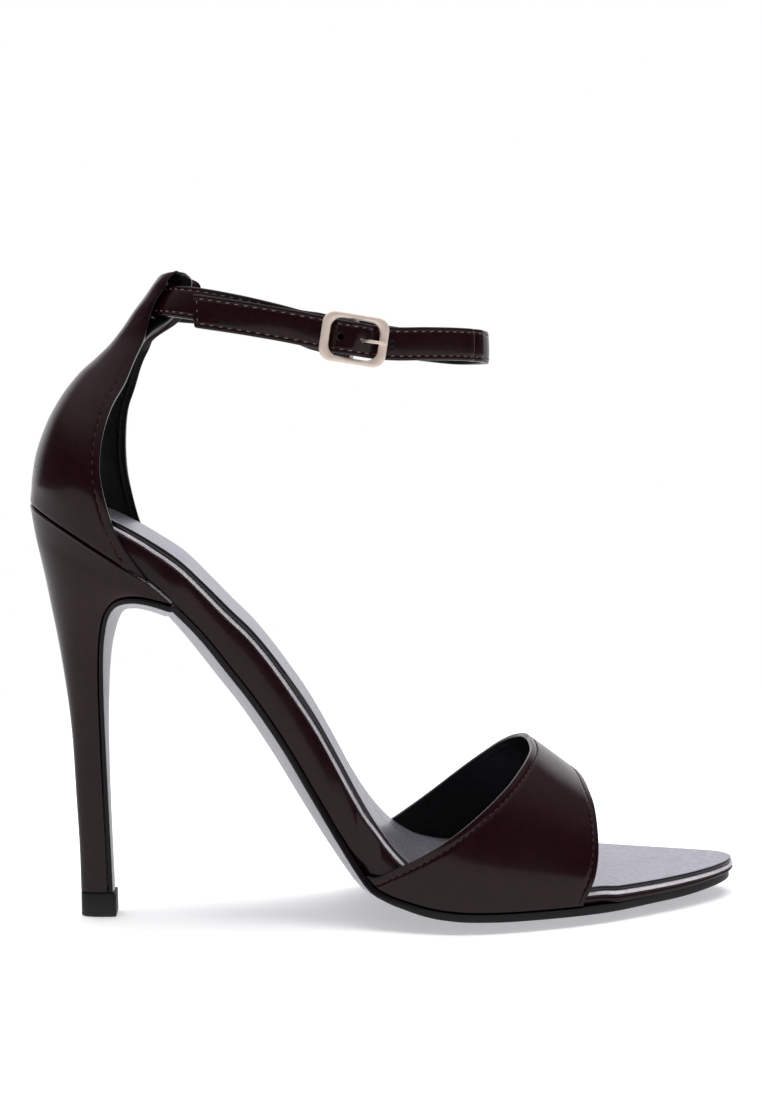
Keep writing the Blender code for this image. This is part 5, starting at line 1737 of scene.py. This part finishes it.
class SandalLooks(bpy.types.PropertyGroup):
    """Colours and gloss."""

    patent: colour("Patent", "Deep colour of the patent leather", (0.0105, 0.0015, 0.0027))
    patent_roughness: share("Patent roughness", "How blurred the leather's own reflections are", 0.16)
    coat: share("Lacquer", "How much clear lacquer lies on the patent leather", 0.24)
    coat_roughness: share("Lacquer roughness", "How blurred the lacquer's reflections are", 0.07)
    lining: colour("Lining", "Black of the lining leather", (0.0035, 0.0033, 0.0040))
    edge: colour("Edge paint", "Black of the painted cut edges", (0.006, 0.005, 0.006))
    sock: colour("Sock", "Metallic grey of the sock", (0.54, 0.52, 0.60))
    sock_metallic: share("Sock metallic", "How metallic the sock is", 0.8)
    sole: colour("Sole", "Pale grey of the sole's underside", (0.38, 0.375, 0.41))
    # A painted highlight: the pale colour of the board's upper rim, standing in for the reflection that the
    # rim catches.
    rim_highlight_colour: colour("Binding", "Pale line round the board's upper edge", (0.80, 0.75, 0.80))
    rubber: colour("Rubber", "Black of the heel's top piece", (0.010, 0.010, 0.011))
    metal: colour("Buckle metal", "Pale rose gold of the buckle", (0.97, 0.80, 0.70))
    light_thread: colour("Strap thread", "Light brown thread of the ankle strap", (0.27, 0.175, 0.145))
    dark_thread: colour("Upper thread", "Reddish brown thread of vamp and counter", (0.075, 0.034, 0.030))


class SandalStitches(bpy.types.PropertyGroup):
    """Sizes of the seams."""

    pitch: length("Pitch", "Distance from one stitch to the next on the strap", 2.6 * MM)
    stitch_length: length("Stitch length", "Length of the thread that shows in one stitch", 1.25 * MM)
    thread_thickness: length("Thread", "Thickness of the thread", 0.32 * MM)
    groove: length("Groove", "How deep the seams press into the leather", 0.16 * MM)
    strap_inset: length("Strap inset", "Distance of the strap's seams from its edges", 1.2 * MM)
    strap_puff: length("Strap crown", "How far the strap's face bulges", 0.22 * MM)
    vamp_inset: length("Vamp inset", "Distance of the vamp's seams from its edges", 2.0 * MM)
    counter_inset: length("Counter inset", "Distance of the counter's seams from its edges", 2.1 * MM)


class SandalEdges(bpy.types.PropertyGroup):
    """Roundings and beads."""

    cut_edge: length("Cut edge", "Rounding of the painted cut edges", 0.42 * MM)
    heel_rim: length("Heel rim", "Rounding of the heel's upper rim", 0.45 * MM)
    # This height also sets how far down the rim's pale painted highlight reaches.
    bead: length("Board bead", "Height of the pale line round the board's upper edge", 0.8 * MM)
    sock_draw: length("Sock draw-in", "How much further in the sock lies at the toe", 0.7 * MM)


class SandalStage(bpy.types.PropertyGroup):
    """Floor, light and camera."""

    floor_size: length("Floor", "Side of the floor", 12.0)
    floor_colour: colour("Floor colour", "Pale colour of the floor", (0.90, 0.90, 0.90))
    floor_glow: amount("Floor glow", "Evenness of the floor's white", 0.30, min=0.0)
    floor_gloss: amount("Floor in gloss", "How bright glossy faces see the floor", 0.66, min=0.0)
    white_from: length("White from", "How far from the shoe the floor starts to turn pure white", 0.22)
    back_light: amount("Back light", "Brightness behind the shoe", 0.7, min=0.0)
    front_light: amount("Front light", "Brightness round the horizon", 0.07, min=0.0)
    high_light: amount("High light", "Brightness overhead", 0.5, min=0.0)
    front_height: amount("Front height", "Where the light overhead begins", 0.35)
    bright_from: amount("Bright from", "How far round the bright back wall reaches", 0.5)
    top_power: amount("Top light", "Power of the soft box above", 34.0, unit="POWER")
    lens: amount("Lens", "Focal length", 63.69, min=1.0, unit="CAMERA")
    camera_place: FloatVectorProperty(
        name="Camera place", description="Where the camera stands", unit="LENGTH",
        default=(0.04802, -0.54897, 0.131))
    camera_tilt: turning("Camera tilt", "How far it looks down", 3.06)
    camera_turn: turning("Camera turn", "How far it looks towards the toe", 3.5)
    camera_roll: turning("Camera roll", "How far it leans", -1.0)


class SandalSettings(bpy.types.PropertyGroup):
    """All that a user may change."""

    looks: PointerProperty(type=SandalLooks)
    stitches: PointerProperty(type=SandalStitches)
    edges: PointerProperty(type=SandalEdges)
    stage: PointerProperty(type=SandalStage)


def make_stage(settings):
    """Floor, studio light and camera."""
    stage = settings.stage
    bpy.context.scene.view_settings.view_transform = "Standard"
    make_floor(stage)
    make_studio_air(stage)
    make_top_light(stage)
    make_camera(stage)


class Step:
    """What each operator does: it runs its makers with the sandal's settings."""

    makers = ()

    def execute(self, context):
        for make in self.makers:
            make(context.scene.sandal)
        return {"FINISHED"}


class SANDAL_OT_sole(Step, bpy.types.Operator):
    """Makes the sole ribbon, the board and the sock"""

    bl_idname = "sandal.sole"
    bl_label = "Sole, board and sock"
    makers = (make_outsole, make_board, make_sock)


class SANDAL_OT_heel(Step, bpy.types.Operator):
    """Makes the covered heel and its rubber tip"""

    bl_idname = "sandal.heel"
    bl_label = "Heel and tip"
    makers = (make_heel, make_heel_tip)


class SANDAL_OT_vamp(Step, bpy.types.Operator):
    """Makes the strap over the toes with its seams"""

    bl_idname = "sandal.vamp"
    bl_label = "Vamp"
    makers = (make_vamp,)


class SANDAL_OT_counter(Step, bpy.types.Operator):
    """Makes the closed back with its tab and seams"""

    bl_idname = "sandal.counter"
    bl_label = "Heel counter"
    makers = (make_counter,)


class SANDAL_OT_strap(Step, bpy.types.Operator):
    """Makes the ankle strap with its holes and seams"""

    bl_idname = "sandal.strap"
    bl_label = "Ankle strap"
    makers = (make_strap,)


class SANDAL_OT_buckle(Step, bpy.types.Operator):
    """Makes the buckle's frame, bar and prong"""

    bl_idname = "sandal.buckle"
    bl_label = "Buckle"
    makers = (make_buckle,)


class SANDAL_OT_stage(Step, bpy.types.Operator):
    """Sets the floor, the light and the camera"""

    bl_idname = "sandal.stage"
    bl_label = "Stage"
    makers = (make_stage,)


class SANDAL_PT_panel(bpy.types.Panel):
    """Lists the sandal's pieces and what may be changed"""

    bl_idname = "SANDAL_PT_panel"
    bl_label = "Heeled sandal"
    bl_space_type = "VIEW_3D"
    bl_region_type = "UI"
    bl_category = "Sandal"

    def draw(self, context):
        for step in STEPS:
            self.layout.operator(step.bl_idname)
        settings = context.scene.sandal
        for group in (settings.looks, settings.stitches, settings.edges, settings.stage):
            box = self.layout.box()
            for name in group.__annotations__:
                box.prop(group, name)


STEPS = (
    SANDAL_OT_sole,
    SANDAL_OT_heel,
    SANDAL_OT_vamp,
    SANDAL_OT_counter,
    SANDAL_OT_strap,
    SANDAL_OT_buckle,
    SANDAL_OT_stage,
)
CLASSES = (SandalLooks, SandalStitches, SandalEdges, SandalStage, SandalSettings, *STEPS, SANDAL_PT_panel)


def register():
    for each in CLASSES:
        bpy.utils.register_class(each)
    bpy.types.Scene.sandal = PointerProperty(type=SandalSettings)


def unregister():
    del bpy.types.Scene.sandal
    for each in reversed(CLASSES):
        bpy.utils.unregister_class(each)


def main():
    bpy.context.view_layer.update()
    register()
    for step in STEPS:
        family, name = step.bl_idname.split(".")
        getattr(getattr(bpy.ops, family), name)()


if __name__ == "__main__":
    main()
